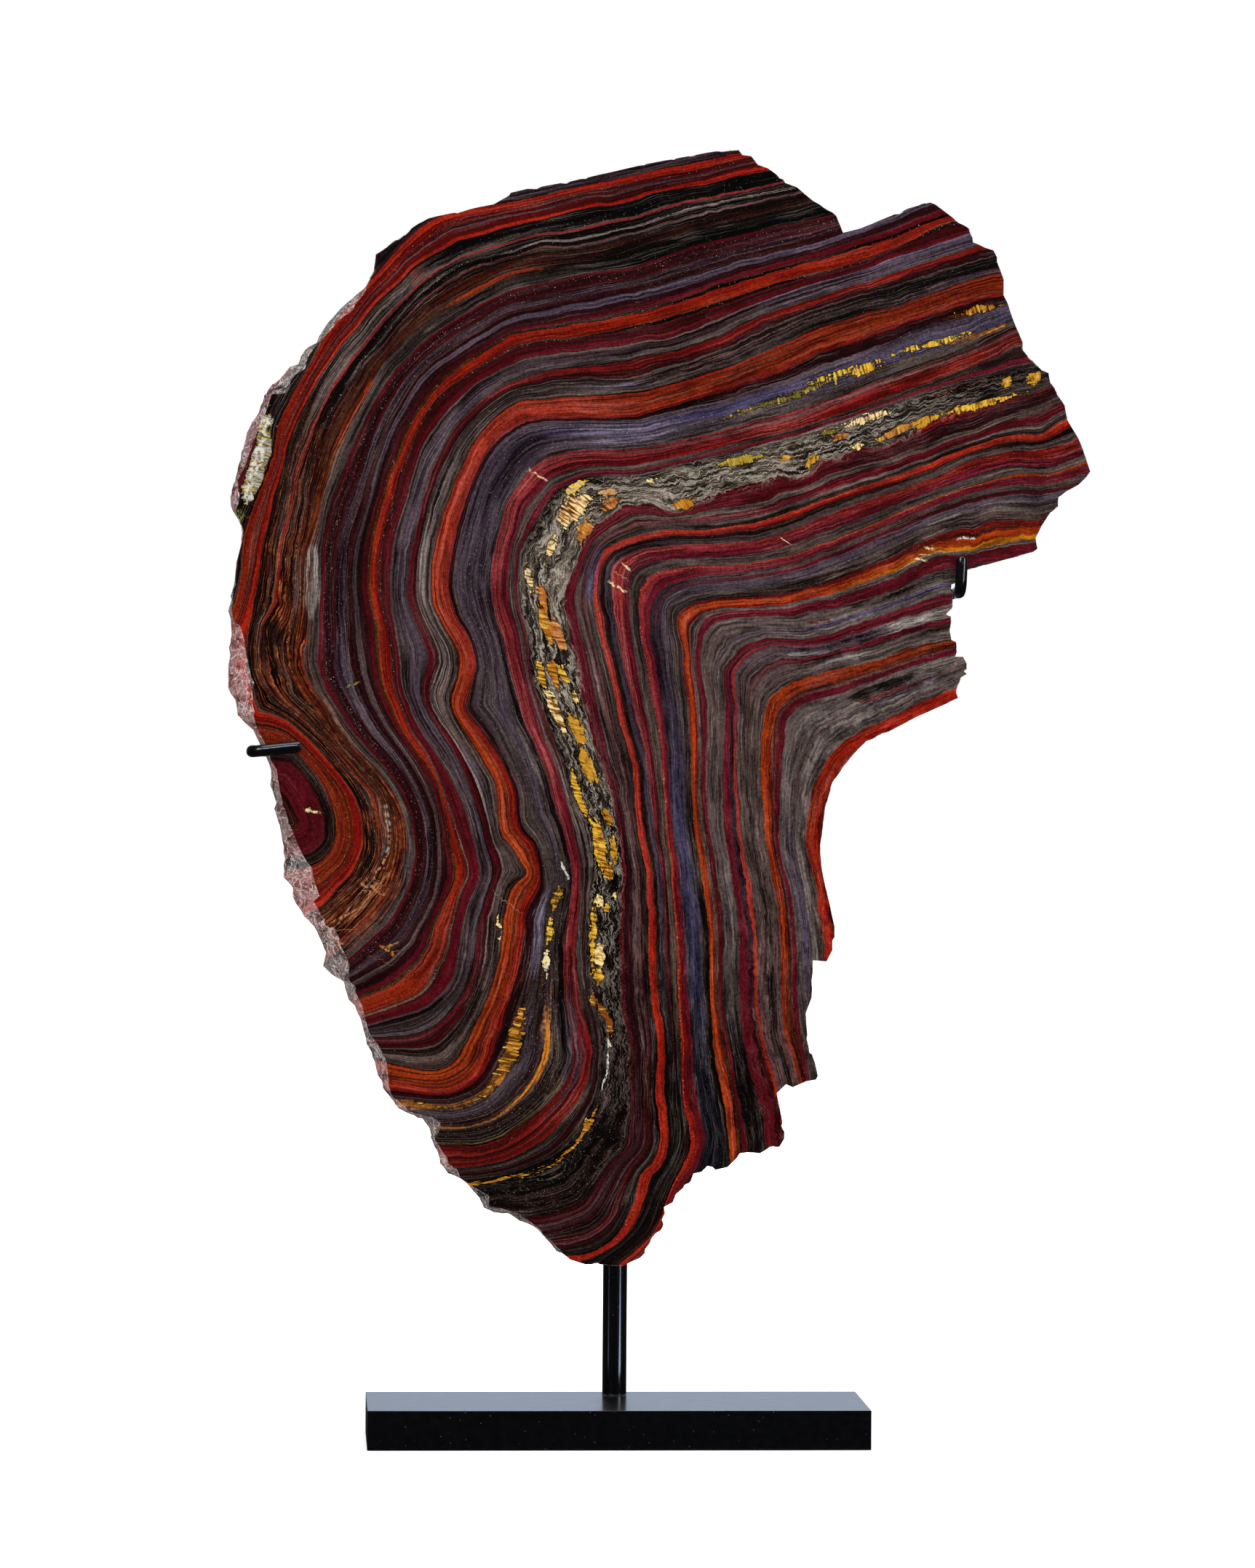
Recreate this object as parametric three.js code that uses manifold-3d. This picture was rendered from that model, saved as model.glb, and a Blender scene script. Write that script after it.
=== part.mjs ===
// A slab of folded banded ironstone, held up by two wire hooks on a black steel stand.
// Millimetres. X runs to the right along the stand's base, Y away from the polished face, Z up.
// The origin is the middle of the base's underside.
import * as THREE from "three";
import { mergeVertices } from "three/addons/utils/BufferGeometryUtils.js";
import Module from "manifold-3d";

const wasm = await Module();
wasm.setup();

// Driving dimensions
const gap = 0.3; // between pieces that touch
const baseWidth = 254;
const baseDepth = 76;
const baseHeight = 20;
const postDiameter = 12.5;
const postTop = 446; // top of the post, hidden behind the slab
const postX = 0.9;
const postY = 27.3; // the post stands near the back edge of the base
const postSides = 32;
const wireDiameter = 6;
const wireSides = 10;
const wireBend = 6.5; // radius of a bend, to the middle of the wire
const leftArmSteps = 76; // lengths the wire is cut into
const rightArmSteps = 74;
const slabThickness = 16;
const slabFaceY = 4.5; // where the polished face lies

// Left hook: it wraps round the slab's left edge and lies across the face
const leftArmZ = 350.5;
const leftHookX = -187.4; // middle of the wire where it passes the edge
const leftHookTip = [-162.6, 352.8]; // x and z of the tip
const leftHookZ = 350; // height of the wire where it reaches the face

// Right hook: it comes forward in the notch and turns up over the face
const rightArmZ = 430;
const rightRise = [159.5, 434.8]; // X where the arm starts to rise behind the stone, and the height it rises to
const rightHookZ = 434.1; // height of the wire where it reaches the face
const rightHookX = 173.8;
const rightHookTop = 452.6;
const rightHookLean = 0.8; // how far the tip leans to the right

// The slab's broken sides
const edgeStep = 6; // longest facet along the edge
const sideDepths = [0, 0.16, 0.42, 0.72, 1]; // rows of facets, as shares of the thickness
const sideFlare = [0, 0.42, 0.86, 1, 0.9]; // how far each row has gone from face edge to rim
const sideRoughness = [0, 0.55, 1, 0.8, 0.25]; // random push of each row, in mm
const plainRim = -0.9; // the rim stands this far inside the face edge where nothing else is given
const inwardBias = 0.6; // keeps that push inside the outline where no rim is given
const hookRoom = 9; // the sides stay smooth this close to a hook
const evenedPoints = 2; // neighbours on each side that even out the outward direction
const bayPieces = 16; // facets round the bay
const weldWithin = 1e-3; // points this close are one point

// The slab's outline, clockwise from the upper left, as x and z on the polished face.
const topEdge = [
  [-126.5, 603.5], [-122, 606.5], [-112.5, 614.5], [-105, 619.5], [-99.5, 622.5], [-91, 624.5],
  [-74, 628.5], [-66.5, 630], [-59, 634.5], [-58, 636], [-50, 638], [-28.5, 642], [0, 649],
  [15, 652.5], [45.5, 658.5], [53, 659.5], [58.5, 659.5], [60.5, 657], [65, 656.5], [68.5, 652],
  [73.5, 650.5], [81.5, 645], [82.5, 643], [88.5, 641], [97, 634], [105, 630], [109, 626.5],
  [112.5, 618],
];
const rightLobe = [
  [121.5, 620.5], [131, 624.5], [146, 631], [151, 632.5], [153.5, 634.2], [156.5, 634.5], [160, 633],
  [172.5, 624], [177.5, 621], [179.5, 616.5], [179.5, 614], [182, 613], [186.5, 611], [190, 610],
  [192, 606.5], [192, 604], [195.5, 595], [195.5, 587], [197.5, 583], [200.5, 574.5], [206, 562],
  [207, 557.5], [211.5, 554], [215.5, 549], [219, 547.5], [220, 542.5], [223, 540], [223.5, 536.5],
  [227.5, 531], [229, 523.5], [234.5, 514.5], [237.5, 507.5], [241, 497], [239, 494], [235, 490],
  [228.5, 486.5], [225, 483.5], [225, 478.5], [220.5, 475.5], [216, 468.5], [213, 462.5],
  [214, 457], [211.5, 455], [197, 451], [178.5, 446],
];
const hookNotch = [
  [172.3, 444.5], [172.3, 439.3], [169.6, 438.2], [169.6, 434.8], [170.4, 434], [170.4, 427.5],
  [170, 426], [167, 423], [169.5, 422], [170, 419.5], [169, 415],
  [170, 410], [172.5, 409], [173, 404], [172, 401.5], [176, 401.5], [178, 398], [178, 395],
  [176.5, 394], [178, 392.5], [175, 390.5], [173, 383], [173.5, 380],
];
// The inner bend of the fold is a smooth bay
const bayStart = [
  [167.5, 377], [152, 370], [139, 363], [131, 359], [126.5, 357.5],
];
const bayCurve = [
  [122.5, 353.5], [114.5, 344], [108, 331.5], [104.5, 314], [104, 294], [108.5, 274], [111, 262.5],
];
const lowerRight = [
  [111, 257], [110, 255.5], [110, 250.5], [107, 244.5], [100, 245], [100, 236], [99.5, 226],
  [96.5, 218], [97.5, 207], [99, 198.5], [100.5, 197.5], [103, 186], [102, 184], [97, 183],
  [90, 180], [86.5, 181.5], [82, 177], [86, 157.5], [86, 153.5], [83.5, 149.5], [78.5, 149],
  [73.5, 146], [67, 146.5], [63, 146], [61.5, 143.5], [57, 139], [50.5, 137.5], [49, 139],
  [46.5, 139.5], [43.5, 136.5], [39.5, 135.5], [38, 131.5], [30.5, 125], [29, 121], [24.5, 118.5],
  [25, 115.5], [23.5, 112], [24.5, 110], [23.5, 107.5], [15, 97], [15, 95], [12.5, 92.5],
  [8, 90.5], [3, 88], [-6.5, 89], [-15.5, 89], [-23.5, 91.5],
];
// Up the left side the broken edge slopes out, so each point has the face edge and then the rim
const leftEdge = [
  [-29, 96, -28.5, 93.5], [-33.5, 101, -31.5, 96.5], [-38, 104.5, -36, 101.5], [-42, 109, -42, 108],
  [-46.5, 112.5, -49, 110.5], [-50, 115, -55, 114], [-59, 117.5, -62.5, 114.5],
  [-65.5, 118.5, -67.5, 117], [-65.5, 124, -70, 122.5], [-72.5, 128, -75.5, 129],
  [-80, 133, -80.5, 132.5], [-82, 137.5, -86, 134.5], [-86.5, 140.5, -90.5, 140.5],
  [-87, 143.5, -92, 145.5], [-90.5, 148, -94.5, 151], [-93.5, 153.5, -95.5, 156],
  [-91, 157.5, -97.5, 160], [-90.5, 162.5, -100, 162.5], [-107, 167, -107.5, 165],
  [-110, 170.5, -112, 167.5], [-115, 174.5, -115.5, 172.5], [-117, 179.5, -119.5, 178],
  [-117.5, 187, -122, 184.5], [-118.5, 193, -124, 191.5], [-121.5, 199.5, -126.5, 196],
  [-124.5, 203.5, -128, 200.5], [-127.5, 207.5, -130, 208.5], [-131, 221.5, -134, 220.5],
  [-133, 225, -138.5, 223], [-134.5, 228, -140, 229], [-136.5, 232, -140.5, 232.5],
  [-138, 236, -146, 236], [-137.5, 242, -151, 240.5], [-140, 247.5, -150, 247.5],
  [-143, 253, -152, 252.5], [-146.5, 260, -155, 258], [-149.5, 261.5, -158, 263],
  [-152.5, 267, -163, 268.5], [-156, 274, -167, 276], [-153, 277, -167.5, 280.5],
  [-155.5, 283.5, -171.5, 286], [-157, 291, -171.5, 292], [-160.5, 295.5, -171, 295.5],
  [-164, 302.5, -172, 301.5], [-166.5, 309.5, -173.5, 308], [-169.5, 314.5, -175, 315],
  [-171, 319.5, -176.5, 321], [-173, 328, -175.5, 326.5], [-174.5, 336, -177.5, 333],
  [-175, 340.5, -178, 338.5], [-178, 345.5, -178.5, 343.5], [-181, 354, -182.2, 351],
  [-185, 361, -187, 361], [-187.5, 369.5, -195, 368.5], [-187.5, 377, -196.5, 376],
  [-188, 386.5, -200, 382.5], [-189.5, 393, -201, 390], [-191, 399.5, -200, 399],
  [-192, 406.5, -199.5, 407], [-194, 413.5, -198.5, 413.5], [-197, 416, -199, 417],
  [-198.5, 421.5, -200, 422], [-198, 429, -199, 429], [-197, 436, -197.5, 436],
  [-196, 446, -196, 446.5], [-193, 458.5, -193.5, 459], [-193, 463, -193.5, 463.5],
  [-195, 468, -196, 468.5], [-197, 472.5, -198.5, 472.5], [-195.5, 476, -200, 475.5],
  [-195, 480.5, -200, 480], [-196, 488, -198, 486], [-192, 495.5, -196, 494],
  [-189, 505.5, -194, 502.5], [-185.5, 514, -191, 512.5], [-181, 525, -186.5, 522.5],
  [-179, 532, -183, 531], [-172.5, 533.5, -178.5, 537.5], [-170, 537.5, -174, 541.5],
  [-167, 542, -170, 547], [-162.5, 545.5, -166, 548.5], [-160, 552.5, -162.5, 555.5],
  [-154, 559.5, -156.5, 559], [-150, 564, -154, 565], [-145, 570, -147, 573.5],
  [-139.5, 574.5, -143.5, 577], [-132.5, 583.5, -132.5, 587], [-127.5, 595, -127.5, 596],
];

// A repeatable random number from -1 to 1 for a place on the rough sides.
function scatter(point, row) {
  const wave = Math.sin(point.x * 12.9898 + point.z * 78.233 + row * 37.719) * 43758.5453;
  return 2 * (wave - Math.floor(wave)) - 1;
}

// The rough sides are calm where a hook passes them.
function calmNear(point) {
  const toLeft = Math.hypot(point.x - leftHookX, point.z - leftArmZ);
  const toRight = Math.hypot(point.x - rightHookX, point.z - rightHookZ);
  return Math.min(toLeft, toRight) > hookRoom ? 1 : 0;
}

// The smooth stretch of an outline through a few points.
function bentThrough(points, pieces) {
  const curve = new THREE.SplineCurve(points.map(([x, z]) => new THREE.Vector2(x, z)));
  return curve.getSpacedPoints(pieces).map((p) => [p.x, p.y]);
}

// Outward direction at each point of a clockwise loop, evened over its neighbours.
function outwardOf(loop) {
  return loop.map((_, i) => {
    const before = loop[(i - evenedPoints + loop.length) % loop.length];
    const after = loop[(i + evenedPoints) % loop.length];
    return new THREE.Vector2(before.z - after.z, after.x - before.x).normalize();
  });
}

// Face edge and rim all the way round, with long stretches divided.
function slabEdge() {
  const bay = bentThrough(bayCurve, bayPieces);
  const corners = [...topEdge, ...rightLobe, ...hookNotch, ...bayStart, ...bay, ...lowerRight, ...leftEdge];
  const loop = [];
  corners.forEach(([x, z, rimX, rimZ], i) => {
    const next = corners[(i + 1) % corners.length];
    const length = Math.hypot(next[0] - x, next[1] - z);
    const parts = Math.max(1, Math.ceil(length / edgeStep));
    const flared = rimX !== undefined && next[2] !== undefined;
    for (let k = 0; k < parts; k += 1) {
      const share = k / parts;
      const point = { x: x + (next[0] - x) * share, z: z + (next[1] - z) * share };
      if (flared) {
        point.rimX = rimX + (next[2] - rimX) * share;
        point.rimZ = rimZ + (next[3] - rimZ) * share;
      } else if (rimX !== undefined && k === 0) {
        point.rimX = rimX;
        point.rimZ = rimZ;
      }
      loop.push(point);
    }
  });
  return loop;
}

// A solid made of closed rows of points from the polished face to the back.
function solidOfRows(rows) {
  const count = rows[0].length;
  const positions = rows.flat().flatMap((p) => [p.x, p.y, p.z]);
  const faces = [];
  for (let row = 0; row < rows.length - 1; row += 1) {
    for (let i = 0; i < count; i += 1) {
      const a = row * count + i;
      const b = row * count + ((i + 1) % count);
      const c = a + count;
      const d = b + count;
      faces.push(a, b, c, b, d, c);
    }
  }
  const capOf = (row) =>
    THREE.ShapeUtils.triangulateShape(rows[row].map((p) => new THREE.Vector2(p.x, p.z)), []);
  capOf(0).forEach(([a, b, c]) => faces.push(a, b, c));
  const last = (rows.length - 1) * count;
  capOf(rows.length - 1).forEach(([a, b, c]) => faces.push(last + a, last + c, last + b));
  const geometry = new THREE.BufferGeometry();
  geometry.setAttribute("position", new THREE.Float32BufferAttribute(positions, 3));
  geometry.setIndex(faces);
  geometry.computeVertexNormals();
  return geometry;
}

function slabGeometry() {
  const edge = slabEdge();
  const outward = outwardOf(edge);
  const rows = sideDepths.map((depth, row) =>
    edge.map((point, i) => {
      const rimX = point.rimX ?? point.x + outward[i].x * plainRim;
      const rimZ = point.rimZ ?? point.z + outward[i].y * plainRim;
      const inward = point.rimX === undefined ? inwardBias : 0;
      const push = sideRoughness[row] * calmNear(point) * (scatter(point, row) - inward);
      return {
        x: point.x + (rimX - point.x) * sideFlare[row] + outward[i].x * push,
        y: slabFaceY + slabThickness * depth,
        z: point.z + (rimZ - point.z) * sideFlare[row] + outward[i].y * push,
      };
    }),
  );
  return solidOfRows(rows);
}

function steelBarGeometry() {
  return new THREE.BoxGeometry(baseWidth, baseDepth, baseHeight);
}

function postGeometry(diameter, length) {
  const geometry = new THREE.CylinderGeometry(diameter / 2, diameter / 2, length, postSides);
  return geometry.rotateX(Math.PI / 2);
}

// Straight runs joined by round bends at each inner corner.
function wirePath(corners) {
  const path = new THREE.CurvePath();
  let from = corners[0];
  for (let i = 1; i < corners.length - 1; i += 1) {
    const into = corners[i].clone().sub(corners[i - 1]).normalize();
    const away = corners[i + 1].clone().sub(corners[i]).normalize();
    const bendIn = corners[i].clone().addScaledVector(into, -wireBend);
    const bendOut = corners[i].clone().addScaledVector(away, wireBend);
    path.add(new THREE.LineCurve3(from, bendIn));
    path.add(new THREE.QuadraticBezierCurve3(bendIn, corners[i], bendOut));
    from = bendOut;
  }
  path.add(new THREE.LineCurve3(from, corners.at(-1)));
  return path;
}

function wireGeometry(corners, steps) {
  const section = new THREE.Shape();
  section.absarc(0, 0, wireDiameter / 2, 0, 2 * Math.PI);
  return new THREE.ExtrudeGeometry(section, {
    steps,
    curveSegments: wireSides / 2,
    extrudePath: wirePath(corners),
  });
}

function toSolid(geometry) {
  const bare = geometry.clone();
  bare.deleteAttribute("normal");
  bare.deleteAttribute("uv");
  const merged = mergeVertices(bare, weldWithin);
  return new wasm.Manifold(
    new wasm.Mesh({
      numProp: 3,
      vertProperties: merged.attributes.position.array,
      triVerts: new Uint32Array(merged.index.array),
    }),
  );
}

function fromSolid(solid) {
  const { vertProperties, triVerts } = solid.getMesh();
  const geometry = new THREE.BufferGeometry();
  geometry.setAttribute("position", new THREE.BufferAttribute(vertProperties, 3));
  geometry.setIndex(new THREE.BufferAttribute(triVerts, 1));
  geometry.computeVertexNormals();
  return geometry;
}

// An arm's inner end is coped to sit against the round post.
function copedToPost(arm) {
  const room = postGeometry(postDiameter + 2 * gap, postTop + baseHeight);
  room.translate(postX, postY, postTop / 2);
  return fromSolid(toSolid(arm).subtract(toSolid(room)));
}

const wireRadius = wireDiameter / 2;
const armY = slabFaceY + slabThickness + gap + wireRadius;
const hookY = slabFaceY - gap - wireRadius;
const armStart = 2; // the arm runs in this close to the post's middle before it is coped

function leftArmGeometry() {
  const corners = [
    new THREE.Vector3(postX - armStart, armY, leftArmZ),
    new THREE.Vector3(leftHookX, armY, leftArmZ),
    new THREE.Vector3(leftHookX, hookY, leftHookZ),
    new THREE.Vector3(leftHookTip[0], hookY, leftHookTip[1]),
  ];
  return copedToPost(wireGeometry(corners, leftArmSteps));
}

function rightArmGeometry() {
  const corners = [
    new THREE.Vector3(postX + armStart, armY, rightArmZ),
    new THREE.Vector3(rightRise[0], armY, rightArmZ),
    new THREE.Vector3(rightHookX, armY, rightRise[1]),
    new THREE.Vector3(rightHookX, hookY, rightHookZ),
    new THREE.Vector3(rightHookX + rightHookLean, hookY, rightHookTop),
  ];
  return copedToPost(wireGeometry(corners, rightArmSteps));
}

function piece(name, geometry, colour, roughness, metalness) {
  const material = new THREE.MeshStandardMaterial({ color: colour, roughness, metalness });
  const mesh = new THREE.Mesh(geometry, material);
  mesh.name = name;
  return mesh;
}

const ironstone = new THREE.Group();

const slab = piece("slab", slabGeometry(), 0x5a1c1c, 0.3, 0);
ironstone.add(slab);

const stand = new THREE.Group();
ironstone.add(stand);

const base = piece("base", steelBarGeometry(), 0x0d0d10, 0.35, 0.2);
base.position.z = baseHeight / 2;
stand.add(base);

const postLength = postTop - baseHeight - gap;
const post = piece("post", postGeometry(postDiameter, postLength), 0x0b0b0d, 0.25, 0.2);
post.position.set(postX, postY, baseHeight + gap + postLength / 2);
stand.add(post);

const leftArm = piece("left_arm", leftArmGeometry(), 0x0b0b0d, 0.3, 0.2);
stand.add(leftArm);

const rightArm = piece("right_arm", rightArmGeometry(), 0x0b0b0d, 0.3, 0.2);
stand.add(rightArm);

export default ironstone;
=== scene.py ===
import bpy
import bmesh
import math
import numpy as np
from mathutils import Matrix, Vector
from mathutils.geometry import delaunay_2d_cdt
from mathutils.kdtree import KDTree


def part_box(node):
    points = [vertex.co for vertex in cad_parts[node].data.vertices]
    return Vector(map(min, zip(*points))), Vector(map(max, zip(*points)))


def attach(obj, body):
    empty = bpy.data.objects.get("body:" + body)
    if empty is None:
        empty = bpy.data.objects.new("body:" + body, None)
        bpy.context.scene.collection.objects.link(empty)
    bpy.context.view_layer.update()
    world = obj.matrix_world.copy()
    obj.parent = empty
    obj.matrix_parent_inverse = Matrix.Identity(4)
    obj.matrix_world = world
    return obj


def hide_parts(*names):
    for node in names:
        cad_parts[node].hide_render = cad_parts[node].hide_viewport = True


# A slab of folded banded ironstone on a black steel stand.
# The studio is laid out in metres. Every size and place of the stone and the stand is in millimetres.
print("loading the frame")
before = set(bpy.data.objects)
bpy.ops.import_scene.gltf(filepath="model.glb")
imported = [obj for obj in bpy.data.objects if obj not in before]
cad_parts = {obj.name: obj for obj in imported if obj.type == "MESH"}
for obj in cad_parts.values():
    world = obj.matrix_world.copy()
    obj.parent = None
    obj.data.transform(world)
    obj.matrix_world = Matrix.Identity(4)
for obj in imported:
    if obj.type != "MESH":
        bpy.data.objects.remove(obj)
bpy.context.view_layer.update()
mm = 0.001

palette = {
    # the layers and their soft patches
    "black": "#030202", "charcoal": "#150f0d", "umber": "#241815", "nightBlue": "#17161d", "brown": "#241009",
    "rust": "#3c1a0d", "amberBrown": "#5e2c10", "olive": "#37290f", "oliveGrey": "#4a3a30",
    "maroon": "#290f13", "deepMaroon": "#210b0e", "deepCrimson": "#350b10", "crimson": "#4a0e16",
    "wine": "#561620", "red": "#62110a", "brightRed": "#861a09", "rose": "#752426", "coral": "#8c2c20",
    "orangeRed": "#7a1a05", "ember": "#6c200a", "orange": "#8c300b", "gold": "#a8640f", "steel": "#3a302e",
    "taupe": "#443633", "grey": "#4e4340", "paleGrey": "#645a56", "silver": "#827b77", "rosyGrey": "#523837",
    "seamGrey": "#5c5349", "plum": "#32232a", "plumDark": "#30262e", "lavender": "#483e4e",
    "greyLavender": "#463a42", "paleLavender": "#5e5668", "indigo": "#3d3853", "indigoDark": "#34313f",
    "purpleGrey": "#3f343e",
    # the quartz of eyes, veins and weathered edges
    "yellowQuartz": "#c79a2a", "amberQuartz": "#a8701c", "orangeQuartz": "#a65c16", "peachQuartz": "#ac7048",
    "creamQuartz": "#d8c692", "limeQuartz": "#77762a", "oliveQuartz": "#4e4516", "brownQuartz": "#6e400e",
    "rustQuartz": "#8a3a16", "peachStone": "#b98e70", "whiteQuartz": "#c9c8bc",
}


def linear(name):
    # a palette name or a hex colour, as the light values that shaders use
    text = palette.get(name, name).lstrip("#")
    parts = [int(text[i:i + 2], 16) / 255 for i in (0, 2, 4)]
    return tuple(p / 12.92 if p <= 0.04045 else ((p + 0.055) / 1.055) ** 2.4 for p in parts) + (1.0,)


print("setting the camera")
cameraSetup = {
    "place": (-0.1610, -2.5836, 0.3538),
    "yaw": 3.647,  # degrees towards +X
    "pitch": -0.418,
    "roll": 0.432,
    "lens": 116.57,  # mm
    "sensor": 36,  # mm, on its long side
}


def makeCamera(plan):
    yaw, pitch, roll = (math.radians(plan[k]) for k in ("yaw", "pitch", "roll"))
    ahead = Vector((math.sin(yaw) * math.cos(pitch), math.cos(yaw) * math.cos(pitch), math.sin(pitch)))
    right = Vector((math.cos(yaw), -math.sin(yaw), 0))
    up = right.cross(ahead)
    tiltedRight = right * math.cos(roll) + up * math.sin(roll)
    tiltedUp = up * math.cos(roll) - right * math.sin(roll)
    data = bpy.data.cameras.new("camera")
    data.lens = plan["lens"]
    data.sensor_width = plan["sensor"]
    data.clip_start = 0.05
    data.clip_end = 60
    camera = bpy.data.objects.new("camera", data)
    turn = Matrix((tiltedRight, tiltedUp, -ahead)).transposed().to_4x4()
    camera.matrix_world = Matrix.Translation(plan["place"]) @ turn
    bpy.context.scene.collection.objects.link(camera)
    bpy.context.scene.camera = camera


makeCamera(cameraSetup)

print("setting the studio")
studio = {
    "floorSize": 40.0,
    "floorColour": (0.93, 0.93, 0.93, 1),
    "floorMirrored": (0.02, 0.02, 0.022, 1),  # the floor as polished surfaces mirror it
    "glowFrom": (0.10, 0.9),  # metres from the middle
    "glow": (0.30, 1.0),
    "skyLight": 0.42,  # soft light from all round
    "skyGloss": 0.05,  # what polished surfaces mirror, so that blacks stay deep
    "skySeen": 1.0,  # how bright the empty background looks
    # name: (place, aimed at, width, height, watts)
    "lamps": {
        "keySoftbox": ((-1.5, -1.9, 1.9), (0, 0, 0.38), 1.2, 1.2, 38),
        "fillSoftbox": ((1.9, -1.7, 1.0), (0, 0, 0.38), 0.9, 1.6, 30),
        "topSoftbox": ((0.1, -0.3, 2.3), (0, 0, 0.3), 1.4, 1.0, 21),
        "backSoftbox": ((0.4, 2.0, 1.6), (0, 0, 0.35), 1.4, 1.4, 34),
    },
    # cards only show in gloss: one behind for the top of the bar, and strips for the post and the left hook.
    # A sixth value lays the card flat, facing up, its length turned by so many degrees.
    "cards": {
        "backCard": ((-0.5, 3.2, 0.42), (-0.5, 0, 0.42), 2.6, 0.8, 5.9),
        "rightStrip": ((0.39, -0.33, 0.001), (0.39, -0.33, 1), 0.09, 0.8, 2.8, 47),
        "hookStrip": ((-0.17, -1.5, 1.5), (-0.17, 0, 0.35), 0.6, 0.12, 15),
        "leftStrip": ((-0.48, -0.22, 0.001), (-0.48, -0.22, 1), 0.06, 0.8, 0.26, -61),
    },
    "cardColour": (0.65, 0.77, 1.0),
}


def makeSky(plan):
    # an even sky, dimmer where polished surfaces mirror it and white where it is seen
    world = bpy.data.worlds.new("studioSky")
    world.use_nodes = True
    bpy.context.scene.world = world
    nodes, links = world.node_tree.nodes, world.node_tree.links
    nodes.clear()
    out = nodes.new("ShaderNodeOutputWorld")
    mix = nodes.new("ShaderNodeMixShader")
    inner = nodes.new("ShaderNodeMixShader")
    sky = {}
    for name in ("skyLight", "skyGloss", "skySeen"):
        sky[name] = nodes.new("ShaderNodeBackground")
        sky[name].inputs["Color"].default_value = (1, 1, 1, 1)
        sky[name].inputs["Strength"].default_value = plan[name]
    path = nodes.new("ShaderNodeLightPath")
    links.new(path.outputs["Is Glossy Ray"], inner.inputs[0])
    links.new(sky["skyLight"].outputs[0], inner.inputs[1])
    links.new(sky["skyGloss"].outputs[0], inner.inputs[2])
    links.new(path.outputs["Is Camera Ray"], mix.inputs[0])
    links.new(inner.outputs[0], mix.inputs[1])
    links.new(sky["skySeen"].outputs[0], mix.inputs[2])
    links.new(mix.outputs[0], out.inputs["Surface"])


def makeFloor(plan):
    # a lit table: matt near the stand, glowing evenly further out so that no edge or horizon shows
    half = plan["floorSize"] / 2
    mesh = bpy.data.meshes.new("floor")
    corners = [(-half, -half, 0), (half, -half, 0), (half, half, 0), (-half, half, 0)]
    mesh.from_pydata(corners, [], [(0, 1, 2, 3)])
    floor = bpy.data.objects.new("floor", mesh)
    paint = bpy.data.materials.new("paleFloor")
    paint.use_nodes = True
    nodes, links = paint.node_tree.nodes, paint.node_tree.links
    shader = nodes["Principled BSDF"]
    shader.inputs["Roughness"].default_value = 0.9
    shader.inputs["Specular IOR Level"].default_value = 0.1
    shader.inputs["Emission Color"].default_value = (1, 1, 1, 1)
    where, distance = nodes.new("ShaderNodeTexCoord"), nodes.new("ShaderNodeVectorMath")
    distance.operation = "LENGTH"
    glow = nodes.new("ShaderNodeMapRange")
    glow.inputs["From Min"].default_value, glow.inputs["From Max"].default_value = plan["glowFrom"]
    glow.inputs["To Min"].default_value, glow.inputs["To Max"].default_value = plan["glow"]
    links.new(where.outputs["Object"], distance.inputs[0])
    links.new(distance.outputs["Value"], glow.inputs["Value"])
    path, seen = nodes.new("ShaderNodeLightPath"), nodes.new("ShaderNodeMath")
    seen.operation = "MULTIPLY"
    links.new(glow.outputs[0], seen.inputs[0])
    links.new(path.outputs["Is Camera Ray"], seen.inputs[1])
    links.new(seen.outputs[0], shader.inputs["Emission Strength"])
    colour = nodes.new("ShaderNodeMix")
    colour.data_type = "RGBA"
    colour.inputs[6].default_value = plan["floorColour"]
    colour.inputs[7].default_value = plan["floorMirrored"]
    links.new(path.outputs["Is Glossy Ray"], colour.inputs[0])
    links.new(colour.outputs[2], shader.inputs["Base Color"])
    mesh.materials.append(paint)
    floor.location.z = -0.0002  # just under the base
    bpy.context.scene.collection.objects.link(floor)


def makeLamps(plan):
    for name, (place, aim, width, height, watts, *turned) in [*plan["lamps"].items(), *plan["cards"].items()]:
        data = bpy.data.lights.new(name, "AREA")
        data.shape = "RECTANGLE"
        data.size, data.size_y, data.energy = width, height, watts
        lamp = bpy.data.objects.new(name, data)
        lamp.location = place
        if turned:
            lamp.rotation_euler = (math.pi, 0, math.radians(turned[0]))
        else:
            lamp.rotation_euler = (Vector(aim) - Vector(place)).to_track_quat("-Z", "Y").to_euler()
        lamp.visible_camera = False
        if name in plan["cards"]:
            data.color = plan["cardColour"]
            lamp.visible_diffuse = False
        bpy.context.scene.collection.objects.link(lamp)


bpy.context.scene.view_settings.view_transform = "Standard"
bpy.context.scene.view_settings.look = "None"
makeSky(studio)
makeFloor(studio)
makeLamps(studio)

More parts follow.
